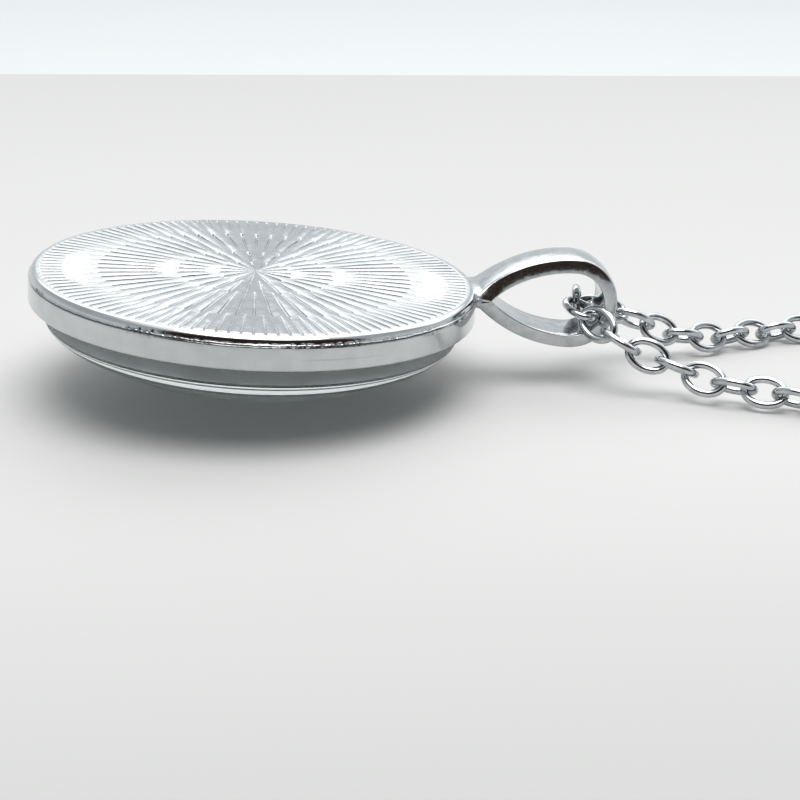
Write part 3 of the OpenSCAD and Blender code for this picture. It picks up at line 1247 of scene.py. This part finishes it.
@dataclass
class Setting:
    """The tray and its bail, soldered into one piece."""

    rest: Rest = field(default_factory=Rest)
    tray: Tray = field(default_factory=Tray)
    bail: Bail = field(default_factory=Bail)
    back_depth: float = 0.3
    margin: float = 0.02
    floor_margin: float = 0.05
    wall_tilt: float = 24.0

    def build(self) -> bpy.types.Object:
        """Builds the piece and dresses it.

        Returns:
            The piece.
        """
        place = self.rest.matrix()
        metals = {plate: plate.value for plate in Plate}
        metals[Plate.RAYED] = metals[Plate.RAYED].about(place)
        plain, *others = (metal.material() for metal in metals.values())
        tray = self.tray.mesh(plain)
        points, faces = mesh_data(tray)
        more_points, more_faces = mesh_data(self.bail.mesh())
        more_faces = [tuple(i + len(points) for i in face) for face in more_faces]
        joined = bpy.data.meshes.new("setting")
        joined.from_pydata(points + more_points, [], faces + more_faces)
        add_mark(joined, SHADE_AND_TARNISH, np.append(read_mark(tray, SHADE_AND_TARNISH), np.zeros(len(more_points))))
        self.sort_faces(joined, len(faces))
        joined.transform(place)
        return place_piece(add_object("setting_cast", joined, plain, *others), Slot.SILVER, "setting")

    def sort_faces(self, mesh: bpy.types.Mesh, tray_faces: int) -> None:
        """Gives the rayed back, the walls of its grooves (a lighter copy of the plate, as painted light),
        the bail and the seat their own finishes.

        Args:
            mesh: The joined mesh, in the tray's frame.
            tray_faces: How many of its faces, the first ones, are the tray's.
        """
        count = len(mesh.polygons)
        middles, normals = np.empty(count * 3), np.empty(count * 3)
        mesh.polygons.foreach_get("center", middles)
        mesh.polygons.foreach_get("normal", normals)
        x, y, z = middles.reshape(-1, 3).T / MM
        out_x, out_y, _ = normals.reshape(-1, 3).T
        radius = np.hypot(x, y)
        bail = np.arange(count) >= tray_faces
        back = ~bail & (z > -self.back_depth) & (radius < self.tray.burst_radius + self.margin)
        around = (out_y * x - out_x * y) / np.maximum(radius, self.tray.rings[0].start / 3)
        steep = back & (np.abs(around) > math.sin(math.radians(self.wall_tilt)))
        low = z < -self.tray.floor + self.floor_margin
        seat = ~bail & low & (radius < self.tray.seat_radius + self.margin)
        used = np.full(count, Plate.PLAIN.number, np.int32)
        for faces, plate in (
                (back, Plate.RAYED), (steep, Plate.LIT_GROOVE), (bail, Plate.CAST), (seat, Plate.SEAT)):
            used[faces] = plate.number
        mesh.polygons.foreach_set("material_index", used)
        mesh.polygons.foreach_set("use_smooth", ~steep)


def mesh_data(mesh: bpy.types.Mesh) -> tuple[list, list]:
    """Points and faces of a mesh as plain lists."""
    return [tuple(v.co) for v in mesh.vertices], [tuple(p.vertices) for p in mesh.polygons]


def place_piece(piece: bpy.types.Object, slot: Slot, *nodes: str) -> bpy.types.Object:
    """Lets a piece ride on the part's body.

    Args:
        piece: The piece.
        slot: The record's finish that it has; not used.
        nodes: The nodes that it stands for.

    Returns:
        The piece.
    """
    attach(piece, "root")
    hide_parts(*nodes)
    log.info("%s: %d faces for %s", piece.name, len(piece.data.polygons), ", ".join(nodes))
    return piece


def turned_skin(profile: list[FlatPoint], steps: int) -> Skin:
    """Turns a profile round the Z axis.

    Args:
        profile: Radius and height of each ring, from the middle of one face out and back to the other's.
        steps: Points in each ring.

    Returns:
        The closed skin.
    """
    skin = Skin()
    angle = np.arange(steps) * math.tau / steps
    first = skin.row(np.array([[0, 0, profile[0][1]]]))[0]
    rings = [skin.row(np.stack([r * np.cos(angle), r * np.sin(angle), np.full(steps, z)], axis=1))
             for r, z in profile[1:-1]]
    last = skin.row(np.array([[0, 0, profile[-1][1]]]))[0]
    skin.fan(first, rings[0], True)
    for a, b in zip(rings, rings[1:]):
        skin.bridge(a, b, True)
    skin.fan(last, rings[-1][::-1], True)
    return skin


@dataclass
class GlassDome:
    """The clear glass: flat on the picture, a straight side, and a curve from its edge to a wide crown.

    The curve follows the bends: pairs of its slope under the horizontal and its radius of curvature there.
    """

    rest: Rest = field(default_factory=Rest)
    radius: float = 12.5
    back_z: float = -1.05
    side_z: float = -3.064
    inner_ring: float = 6.0
    edge: float = 0.1
    edge_in: float = 0.03
    bends: tuple[FlatPoint, ...] = (
        (0, 0.3), (15, 0.34), (25, 0.44), (31.5, 0.82), (37.7, 1.35), (44.3, 2.16), (51.8, 3.85),
        (58, 4.32), (65, 21.93), (72.5, 30.46), (82, 22.79), (90, 15.47))
    turns: int = 90
    finer: int = 6
    upright: float = 0.1
    steps: int = 360
    finish: ClearGlass = ClearGlass("clear_glass", (0.975, 0.987, 0.987), 0.0, 0.02)
    side_finish: ClearGlass = ClearGlass("ground_glass", (0.93, 0.985, 1.0), 0.4, 0.55)

    def profile(self) -> list[FlatPoint]:
        """Works out the glass's outline.

        Returns:
            Radius and height of each ring, from the middle of the flat back round to the apex.
        """
        back, side, radius = self.back_z, self.side_z, self.radius
        found = [(0.0, back), (self.inner_ring, back), (radius - self.edge, back),
                 (radius - self.edge_in, back - self.edge_in), (radius, back - self.edge),
                 (radius, (back + side) / 2)]
        slope = np.radians(np.linspace(0, 90, self.turns * self.finer + 1))
        bend = np.interp(np.degrees(slope), *zip(*self.bends))
        mid = (bend[1:] + bend[:-1]) / 2 * np.diff(slope)
        halfway = (slope[1:] + slope[:-1]) / 2
        inward = np.concatenate([[0], np.cumsum(mid * np.sin(halfway))])
        down = np.concatenate([[0], np.cumsum(mid * np.cos(halfway))])
        narrow = radius / inward[-1]
        drop = (side + self.rest.tray_height + self.rest.glass_rise) / down[-1]
        kept = slice(None, None, self.finer)
        curve = [(radius - narrow * x, side - drop * z) for x, z in zip(inward[kept], down[kept])]
        return found + curve[:-1] + [(0.0, curve[-1][1])]

    def build(self) -> bpy.types.Object:
        """Builds the piece and dresses it.

        Returns:
            The piece.
        """
        mesh = turned_skin(self.profile(), self.steps).mesh("glass_dome")
        side = [abs(f.normal.z) < self.upright and f.center.z > self.side_z * MM for f in mesh.polygons]
        mesh.polygons.foreach_set("material_index", np.array(side, np.int32))
        mesh.transform(self.rest.matrix())
        lowest = min(v.co.z for v in mesh.vertices)
        log.info("lowest point of the glass %.4f mm", lowest / MM)
        mesh.transform(Matrix.Translation((0, 0, -lowest)))
        piece = add_object("glass_cabochon", mesh, self.finish.material(), self.side_finish.material())
        return place_piece(piece, Slot.GLASS, "glass_dome")


@dataclass(frozen=True)
class Shape:
    """One closed shape of the picture, in disc radii to the right and up, and its ink."""

    outline: np.ndarray
    ink: Ink

    def holds(self, x: float, y: float) -> bool:
        """Tests whether a point is inside the shape.

        Args:
            x: The point's place to the right.
            y: Its place up.

        Returns:
            Whether it is.
        """
        px, py = self.outline[:, 0], self.outline[:, 1]
        qx, qy = np.roll(px, -1), np.roll(py, -1)
        crosses = (py > y) != (qy > y)
        rise = (y - py[crosses]) / (qy[crosses] - py[crosses])
        at = px[crosses] + rise * (qx[crosses] - px[crosses])
        return bool(np.count_nonzero(at > x) % 2)


@dataclass(frozen=True)
class Hill:
    """A hill that runs across the whole picture, with a long and a short wave in its top."""

    ink: Ink
    height: float
    swing: float
    waves: float
    phase: float
    short_waves: float = 2.7
    short_swing: float = 0.4
    half: float = 1.3
    foot: float = -1.4
    steps: int = 41

    def shape(self) -> Shape:
        """Draws the hill down to below the picture.

        Returns:
            The shape.
        """
        x = np.linspace(-self.half, self.half, self.steps)
        long = np.sin(self.waves * x + self.phase)
        short = np.sin(self.short_waves * self.waves * x + 2 * self.phase)
        y = self.height + self.swing * (long + self.short_swing * short)
        below = [[self.half, self.foot], [-self.half, self.foot]]
        return Shape(np.concatenate([np.stack([x, y], axis=1), below]), self.ink)


@dataclass(frozen=True)
class Pine:
    """A pine of a few tiers. Its sizes are shares of its height."""

    x: float
    height: float
    foot: float = -0.5
    tiers: int = 5
    trunk: float = 0.02
    bare: float = 0.1
    tier: float = 0.17
    reach: float = 0.24
    notch: float = 0.42
    slope: float = 0.13

    def shape(self) -> Shape:
        """Draws the pine, up its left side and down its right.

        Returns:
            The shape.
        """
        trunk = self.x - self.trunk * self.height
        left = [(trunk, self.foot), (trunk, self.foot + self.bare * self.height)]
        for i in range(self.tiers):
            low = self.foot + self.height * (self.bare + self.tier * i)
            wide = self.reach * self.height * (1 - self.tier * i)
            left += [(self.x - wide, low), (self.x - self.notch * wide, low + self.slope * self.height)]
        right = [(2 * self.x - a, b) for a, b in reversed(left)]
        return Shape(np.array([*left, (self.x, self.foot + self.height), *right]), Ink.PINE)


def circle(x: float, y: float, radius: float, steps: int) -> np.ndarray:
    """Outline of a circle."""
    turn = np.arange(steps) * math.tau / steps
    return np.stack([x + radius * np.cos(turn), y + radius * np.sin(turn)], axis=1)


@dataclass
class Picture:
    """The printed disc under the glass: a howling wolf on a ridge before a moon, with pines and hills."""

    rest: Rest = field(default_factory=Rest)
    radius: float = 12.5
    face_z: float = -1.0
    thickness: float = 0.25
    steps: int = 144
    seed: int = 11
    wolf: tuple[FlatPoint, ...] = (
        (-0.335, 0.585), (-0.29, 0.6), (-0.25, 0.56), (-0.175, 0.475), (-0.125, 0.44), (-0.08, 0.43),
        (-0.05, 0.415), (0.065, 0.43), (0.0, 0.345), (0.03, 0.29), (0.085, 0.26), (0.055, 0.23),
        (0.11, 0.17), (0.08, 0.155), (0.145, 0.07), (0.12, 0.06), (0.2, -0.03), (0.265, -0.13),
        (0.31, -0.235), (0.335, -0.335), (0.345, -0.42), (0.42, -0.475), (0.52, -0.48), (0.6, -0.44),
        (0.66, -0.37), (0.68, -0.43), (0.655, -0.51), (0.56, -0.58), (0.42, -0.6), (0.2, -0.6),
        (0.05, -0.6), (0.04, -0.565), (0.1, -0.545), (0.135, -0.5), (0.09, -0.43), (0.03, -0.36),
        (-0.01, -0.4), (-0.03, -0.5), (-0.04, -0.6), (-0.16, -0.6), (-0.17, -0.565), (-0.115, -0.54),
        (-0.115, -0.42), (-0.14, -0.3), (-0.19, -0.21), (-0.165, -0.19), (-0.215, -0.11),
        (-0.185, -0.095), (-0.225, -0.01), (-0.19, 0.0), (-0.215, 0.09), (-0.185, 0.1), (-0.205, 0.2),
        (-0.215, 0.29), (-0.255, 0.36), (-0.345, 0.46), (-0.355, 0.485), (-0.325, 0.49), (-0.27, 0.455),
        (-0.3, 0.52), (-0.335, 0.555))
    moon: FlatPoint = (0.12, 0.34)
    moon_radius: float = 0.36
    glow_radius: float = 0.47
    moon_steps: int = 48
    flakes: int = 26
    flake_spans: tuple[FlatPoint, ...] = ((-0.85, 0.85), (0.1, 0.9), (0.006, 0.014))
    flake_reach: float = 0.93
    flake_clear: float = 0.5
    flake_steps: int = 6
    hills: tuple[Hill, ...] = (
        Hill(Ink.FAR_HILL, -0.08, 0.07, 3.1, 0.4), Hill(Ink.NEAR_HILL, -0.26, 0.06, 4.3, 1.9))
    pines: tuple[float, ...] = (-0.9, -0.8, -0.69, -0.58, -0.49, 0.47, 0.57, 0.68, 0.79, 0.9)
    pine_heights: Point = (0.34, 0.16, 0.3)
    snow: Hill = Hill(Ink.SNOW, -0.56, 0.035, 2.2, 2.2)
    border: float = 0.87
    weld: float = 1e-5

    def shapes(self) -> list[Shape]:
        """Draws all of the picture.

        Returns:
            The shapes, from the back to the front.
        """
        pick = np.random.default_rng(self.seed)
        found = [Shape(circle(*self.moon, radius, self.moon_steps), ink)
                 for radius, ink in ((self.glow_radius, Ink.GLOW), (self.moon_radius, Ink.MOON))]
        for _ in range(self.flakes):
            x, y, size = (pick.uniform(*span) for span in self.flake_spans)
            if math.hypot(x, y) < self.flake_reach and math.dist((x, y), self.moon) > self.flake_clear:
                found.append(Shape(circle(x, y, size, self.flake_steps), Ink.FLAKE))
        found += [hill.shape() for hill in self.hills]
        for x in self.pines:
            least, more, outer = self.pine_heights
            found.append(Pine(x, least + more * pick.uniform() + outer * abs(x) ** 3).shape())
        return found + [self.snow.shape(), Shape(np.array(self.wolf), Ink.WOLF)]

    def build(self) -> bpy.types.Object:
        """Builds the piece and dresses it.

        Returns:
            The piece.
        """
        shapes = self.shapes()
        rim = circle(0, 0, 1, self.steps)
        points, edges = [], []
        for outline in [rim, rim * self.border, *(shape.outline for shape in shapes)]:
            first = len(points)
            points += [Vector(p) for p in outline]
            edges += [(first + i, first + (i + 1) % len(outline)) for i in range(len(outline))]
        flat, _, cells, *_ = delaunay_2d_cdt(points, edges, [], 0, self.weld, False)
        inside = [i for i, p in enumerate(flat) if p.length < 1 + 10 * self.weld]
        skin = Skin()
        places = [[flat[i].y * self.radius, flat[i].x * self.radius, self.face_z] for i in inside]
        number = dict(zip(inside, skin.row(np.array(places))))
        inks = []
        for cell in cells:
            x, y = (sum(flat[i][axis] for i in cell) / 3 for axis in range(2))
            out = math.hypot(x, y)
            if out > math.cos(math.pi / self.steps):
                continue
            skin.faces.append(tuple(int(number[i]) for i in cell))
            front = next((shape.ink for shape in reversed(shapes) if shape.holds(x, y)), Ink.SKY)
            inks.append((front if out < self.border else Ink.BORDER).number)
        self.close_back(skin, list(skin.faces))
        mesh = skin.mesh("picture", self.rest.matrix())
        inks += [Ink.SKY.number] * (len(skin.faces) - len(inks))
        mesh.polygons.foreach_set("material_index", np.array(inks, np.int32))
        piece = add_object("picture_print_disc", mesh, *(ink.value.material() for ink in Ink))
        return place_piece(piece, Slot.PRINT, "picture_disc")

    def close_back(self, skin: Skin, faces: list[tuple[int, ...]]) -> None:
        """Closes the disc behind its printed face, from the outline that the faces have.

        Args:
            skin: The mesh so far.
            faces: The printed face's triangles.
        """
        sides = dict.fromkeys((face[i], face[(i + 1) % 3]) for face in faces for i in range(3))
        follow = {a: b for a, b in sides if (b, a) not in sides}
        start = next(iter(follow))
        outline = [start]
        while follow[outline[-1]] != start:
            outline.append(follow[outline[-1]])
        places = np.concatenate(skin.points)[outline]
        behind = skin.row(places + [0, 0, self.thickness])
        skin.bridge(behind, np.array(outline), True)
        middle = skin.row(np.array([[0, 0, self.face_z + self.thickness]]))[0]
        skin.fan(middle, behind, True)


def distances(line: np.ndarray) -> np.ndarray:
    """Distance of each point of a line from its start, along the line."""
    return np.concatenate([[0], np.cumsum(np.linalg.norm(np.diff(line, axis=0), axis=1))])


@dataclass
class Chain:
    """One half of the cable chain, from the bail round to the clasp.

    The start is the way's first rows, and the turns pair distances along the way with a link's roll there.
    """

    name: str
    node: str
    start: tuple[Point, ...]
    turns: tuple[FlatPoint, ...]
    first_quarter: int
    side: int
    links: int = 119
    link_length: float = 2.92
    link_width: float = 2.12
    wire: float = 0.47
    loop_radius: float = 55.0
    loop_x: float = 140.0
    curve_from: int = 120
    curve_step: int = 15
    rest_z: float = 0.837
    clasp_length: float = 8.4
    clasp_z: float = 1.133
    end_gap: float = 0.58
    way_steps: int = 12
    fine_links: int = 20
    finish: PlatedMetal = CHAIN_METAL

    def rows(self) -> np.ndarray:
        """Sets the rows of the whole way.

        Returns:
            The start's rows, the far curve's and the two at the clasp.
        """
        curve = [(self.loop_x + self.loop_radius * math.cos(math.radians(a)),
                  self.side * self.loop_radius * math.sin(math.radians(a)), self.rest_z)
                 for a in range(self.curve_from, 0, -self.curve_step)]
        end_x = self.loop_x + self.loop_radius
        end = [(end_x, self.side * self.clasp_length / 2, self.clasp_z), (end_x, 0, self.clasp_z)]
        return np.array([*self.start, *curve, *end], float)

    def way(self) -> np.ndarray:
        """Draws the smooth line through the rows, up to the middle of the last link.

        Returns:
            The line's points.
        """
        rows = self.rows()
        gaps = np.diff(distances(rows))
        points = []
        for i in range(1, len(rows) - 2):
            leave = (rows[i + 1] - rows[i - 1]) / (gaps[i] + gaps[i - 1]) * gaps[i]
            reach = (rows[i + 2] - rows[i]) / (gaps[i + 1] + gaps[i]) * gaps[i]
            for t in np.arange(self.way_steps) / self.way_steps:
                done = 3 * t ** 2 - 2 * t ** 3
                points.append(rows[i] * (1 - done) + rows[i + 1] * done
                              + leave * (t ** 3 - 2 * t ** 2 + t) + reach * (t ** 3 - t ** 2))
        line = np.array([*points, rows[-2]])
        run = distances(line)
        end = run[-1] - self.end_gap
        last = [np.interp(end, run, line[:, axis]) for axis in range(3)]
        return np.vstack([line[run < end], last])

    def build(self) -> bpy.types.Object:
        """Builds the piece and dresses it.

        Returns:
            The piece.
        """
        metal = self.finish.material()
        line = self.way()
        plan = bpy.data.meshes.new(self.name + "_way")
        plan.from_pydata((line * MM).tolist(), [(i, i + 1) for i in range(len(line) - 1)], [])
        add_mark(plan, TURN, np.radians(np.interp(distances(line), *zip(*self.turns))))
        mesh = chain_on_a_way().grow(self.name, plan, {
            "Links": self.links, "First Quarter": self.first_quarter,
            "Half Length": (self.link_length - self.wire) / 2 * MM,
            "Half Width": (self.link_width - self.wire) / 2 * MM,
            "Wire Radius": self.wire / 2 * MM, "Fine Links": self.fine_links, "Material": metal})
        return place_piece(add_object(self.name, mesh, metal), Slot.CHAIN, self.node)


def chain_halves() -> list[Chain]:
    """Sets the two halves of the chain, which meet in the bail and at the clasp.

    Returns:
        The near half and the far half.
    """
    near = Chain(
        name="chain_near_links", node="chain_near", first_quarter=1, side=-1,
        turns=((0, 77.4), (1.85, 61.4), (3.7, 71.1), (7.4, 67), (14, 45)),
        start=((18.82, 1.07, 4.71), (18.71, -0.75, 4.71), (19.6, -2.28, 4.14), (20.95, -3.41, 3.31),
               (22.57, -3.86, 2.54), (24.26, -4.39, 1.96), (25.9, -5.4, 1.45), (27.55, -6.1, 1.25),
               (29.15, -6.75, 1.1), (33.3, -9.0, 0.9), (42, -13.7, 0.837), (58, -22.5, 0.837),
               (84, -36, 0.837)))
    far = Chain(
        name="chain_far_links", node="chain_far", first_quarter=0, side=1,
        turns=((0, 83.4), (1.8, 42.3), (3.6, 35.8), (5.5, 53.9), (9.2, 59), (14, 45)),
        start=((18.71, -0.75, 4.71), (18.82, 1.07, 4.71), (19.41, 2.36, 4.05), (20.98, 3.15, 3.6),
               (23.0, 3.25, 2.75), (24.63, 3.38, 2.02), (26.6, 3.9, 1.38), (28.5, 4.55, 1.12),
               (31.9, 6.05, 0.9), (35.6, 7.1, 0.85), (44, 10.5, 0.837), (60, 20, 0.837),
               (85, 35, 0.837)))
    return [near, far]


@dataclass(frozen=True)
class Band:
    """The room's light at one height, in degrees over the horizon."""

    height: float
    colour: Colour


@dataclass
class Studio:
    """The table, the soft light and the camera."""

    camera_place: Point = (0.462, -106.423, 35.779)
    camera_yaw: float = 3.896
    camera_down: float = 19.132
    camera_roll: float = 0.147
    camera_view: float = 24.929
    camera_film: float = 36.0
    camera_clip: FlatPoint = (0.005, 10.0)
    sheet_edge: float = 120.9
    sheet_size: float = 1600.0
    sheet: TablePaint = TablePaint("pale_sheet", (0.45, 0.446, 0.437))
    table: TablePaint = TablePaint("pale_table", (0.522, 0.545, 0.543))
    lamp_height: float = 400.0
    lamp_size: float = 365.0
    lamp_power: float = 1.75
    lamp_shift: Point = (26.0, -104.0, 0.0)
    back_bands: tuple[Band, ...] = (
        Band(0, (0.76, 0.81, 0.84)), Band(18, (0.76, 0.81, 0.84)), Band(25, (2.3, 2.33, 2.35)),
        Band(60, (2.2, 2.23, 2.25)), Band(70, (1.4, 1.42, 1.43)), Band(90, (1.4, 1.42, 1.43)))
    side_bands: tuple[Band, ...] = (
        Band(0, (0.8, 0.83, 0.85)), Band(12, (0.7, 0.73, 0.75)), Band(24, (0.52, 0.55, 0.57)),
        Band(50, (0.52, 0.55, 0.57)), Band(70, (1.4, 1.42, 1.43)), Band(90, (1.4, 1.42, 1.43)))
    bright_azimuth: float = 20.0
    bright_reach: FlatPoint = (58.0, 36.0)
    dark_azimuth: float = 174.0
    dark_reach: FlatPoint = (60.0, 46.0)
    dark_from: FlatPoint = (1.0, 5.0)
    dark_to: FlatPoint = (40.0, 52.0)
    dark: Colour = (0.04, 0.026, 0.02)

    def camera(self) -> None:
        """Makes the camera."""
        data = bpy.data.cameras.new("photo_camera")
        data.sensor_width = self.camera_film
        data.lens = data.sensor_width / 2 / math.tan(math.radians(self.camera_view / 2))
        data.clip_start, data.clip_end = self.camera_clip
        camera = bpy.data.objects.new("photo_camera", data)
        turned = Matrix.Rotation(math.radians(-self.camera_yaw), 4, "Z")
        tipped = Matrix.Rotation(math.radians(90 - self.camera_down), 4, "X")
        rolled = Matrix.Rotation(math.radians(self.camera_roll), 4, "Z")
        camera.matrix_world = Matrix.Translation(Vector(self.camera_place) * MM) @ turned @ tipped @ rolled
        bpy.context.scene.collection.objects.link(camera)
        bpy.context.scene.camera = camera

    def flat(self, name: str, near: float, far: float, paint: TablePaint) -> bpy.types.Object:
        """Lays a sheet on the table, square to the camera.

        Args:
            name: Its name.
            near: Its near edge's distance from the pendant along the camera's heading.
            far: Its far edge's distance.
            paint: Its paint.

        Returns:
            The sheet.
        """
        half = self.sheet_size
        mesh = bpy.data.meshes.new(name)
        corners = np.array([(-half, near, 0), (half, near, 0), (half, far, 0), (-half, far, 0)])
        mesh.from_pydata((corners * MM).tolist(), [], [(0, 1, 2, 3)])
        mesh.transform(Matrix.Rotation(math.radians(-self.camera_yaw), 4, "Z"))
        return add_object(name, mesh, paint.material())

    def stage(self) -> None:
        """Lays the pale sheet and the table behind it."""
        sheet = self.flat("sheet", -self.sheet_size, self.sheet_edge, self.sheet)
        table = self.flat("table", self.sheet_edge, self.sheet_size, self.table)

    def lamp(self) -> None:
        """Hangs the soft lamp over the pendant."""
        data = bpy.data.lights.new("overhead", "AREA")
        data.shape = "DISK"
        data.size = self.lamp_size * MM
        data.energy = self.lamp_power
        lamp = bpy.data.objects.new("overhead", data)
        place = Vector(self.lamp_shift) + Vector((0, 0, self.lamp_height))
        lamp.location = place * MM
        lamp.rotation_mode = "QUATERNION"
        lamp.rotation_quaternion = place.to_track_quat("Z", "Y")
        bpy.context.scene.collection.objects.link(lamp)

    @staticmethod
    def bands(tree: ShaderTree, degrees: bpy.types.NodeSocket,
              bands: tuple[Band, ...]) -> bpy.types.NodeSocket:
        """Colour of the room's light by height.

        Args:
            tree: The world's tree.
            degrees: Height over the horizon.
            bands: The light at a few heights, lowest first.

        Returns:
            The colour's socket.
        """
        ramp = tree.add("ShaderNodeValToRGB", {"Fac": tree.remap(degrees, 0, 90, 0, 1)})
        stops = ramp.color_ramp.elements
        for i, band in enumerate(bands):
            stop = stops[i] if i < 2 else stops.new(band.height / 90)
            stop.position = band.height / 90
            stop.color = (*band.colour, 1)
        return ramp.outputs["Color"]

    @staticmethod
    def towards(tree: ShaderTree, flat: list, azimuth: float, reach: FlatPoint) -> bpy.types.NodeSocket:
        """How much a direction is towards an azimuth.

        Args:
            tree: The world's tree.
            flat: The direction's parts along X and Y, as seen from above, at a length of 1.
            azimuth: Degrees from +Y towards +X.
            reach: How many degrees off it the result begins to grow from 0, and comes to 1.

        Returns:
            The share's socket.
        """
        turn = math.radians(azimuth)
        heading = math.sin(turn), math.cos(turn)
        parts = [tree.math("MULTIPLY", part, share) for part, share in zip(flat, heading)]
        start, end = (math.cos(math.radians(off)) for off in reach)
        return tree.remap(tree.math("ADD", *parts), start, end, 0, 1, True)

    def sky(self) -> None:
        """Makes the room's light: bright high at the back, paler at the sides, dark round the camera."""
        world = bpy.data.worlds.new("room")
        world.use_nodes = True
        bpy.context.scene.world = world
        tree = ShaderTree(world.node_tree)
        direction = tree.add("ShaderNodeTexCoord").outputs["Generated"]
        x, y, z = tree.add("ShaderNodeSeparateXYZ", {0: direction}).outputs
        degrees = tree.math("MULTIPLY", tree.math("ARCSINE", z), 180 / math.pi)
        squares = tree.math("ADD", tree.math("MULTIPLY", x, x), tree.math("MULTIPLY", y, y))
        level = tree.math("MAXIMUM", tree.math("SQRT", squares), 0.001)
        flat = [tree.math("DIVIDE", part, level) for part in (x, y)]
        to_back = self.towards(tree, flat, self.bright_azimuth, self.bright_reach)
        side, back = (self.bands(tree, degrees, bands) for bands in (self.side_bands, self.back_bands))
        open_sky = tree.blend(to_back, side, back)
        to_front = self.towards(tree, flat, self.dark_azimuth, self.dark_reach)
        low = tree.remap(degrees, *self.dark_from, 0, 1, True)
        high = tree.remap(degrees, *self.dark_to, 1, 0, True)
        shade = tree.math("MULTIPLY", to_front, tree.math("MULTIPLY", low, high))
        light = tree.blend(shade, open_sky, self.dark)
        tree.feed(world.node_tree.nodes["Background"].inputs["Color"], light)

    def build(self) -> None:
        """Makes the whole studio."""
        bpy.context.scene.view_settings.view_transform = "Standard"
        self.camera()
        self.stage()
        self.lamp()
        self.sky()


def dress_clasp(frame: dict) -> None:
    """Gives the clasp the chain's finish.
    """
    clasp = frame["nodes"]["clasp"]
    clasp.data.materials.clear()
    clasp.data.materials.append(CHAIN_METAL.material())


def main() -> None:
    """Builds the pendant and the studio."""
    logging.basicConfig(level=logging.INFO, format="%(name)s: %(message)s")
    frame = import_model()
    Studio().build()
    Setting().build()
    GlassDome().build()
    Picture().build()
    for half in chain_halves():
        half.build()
    dress_clasp(frame)


if __name__ == "__main__":
    main()
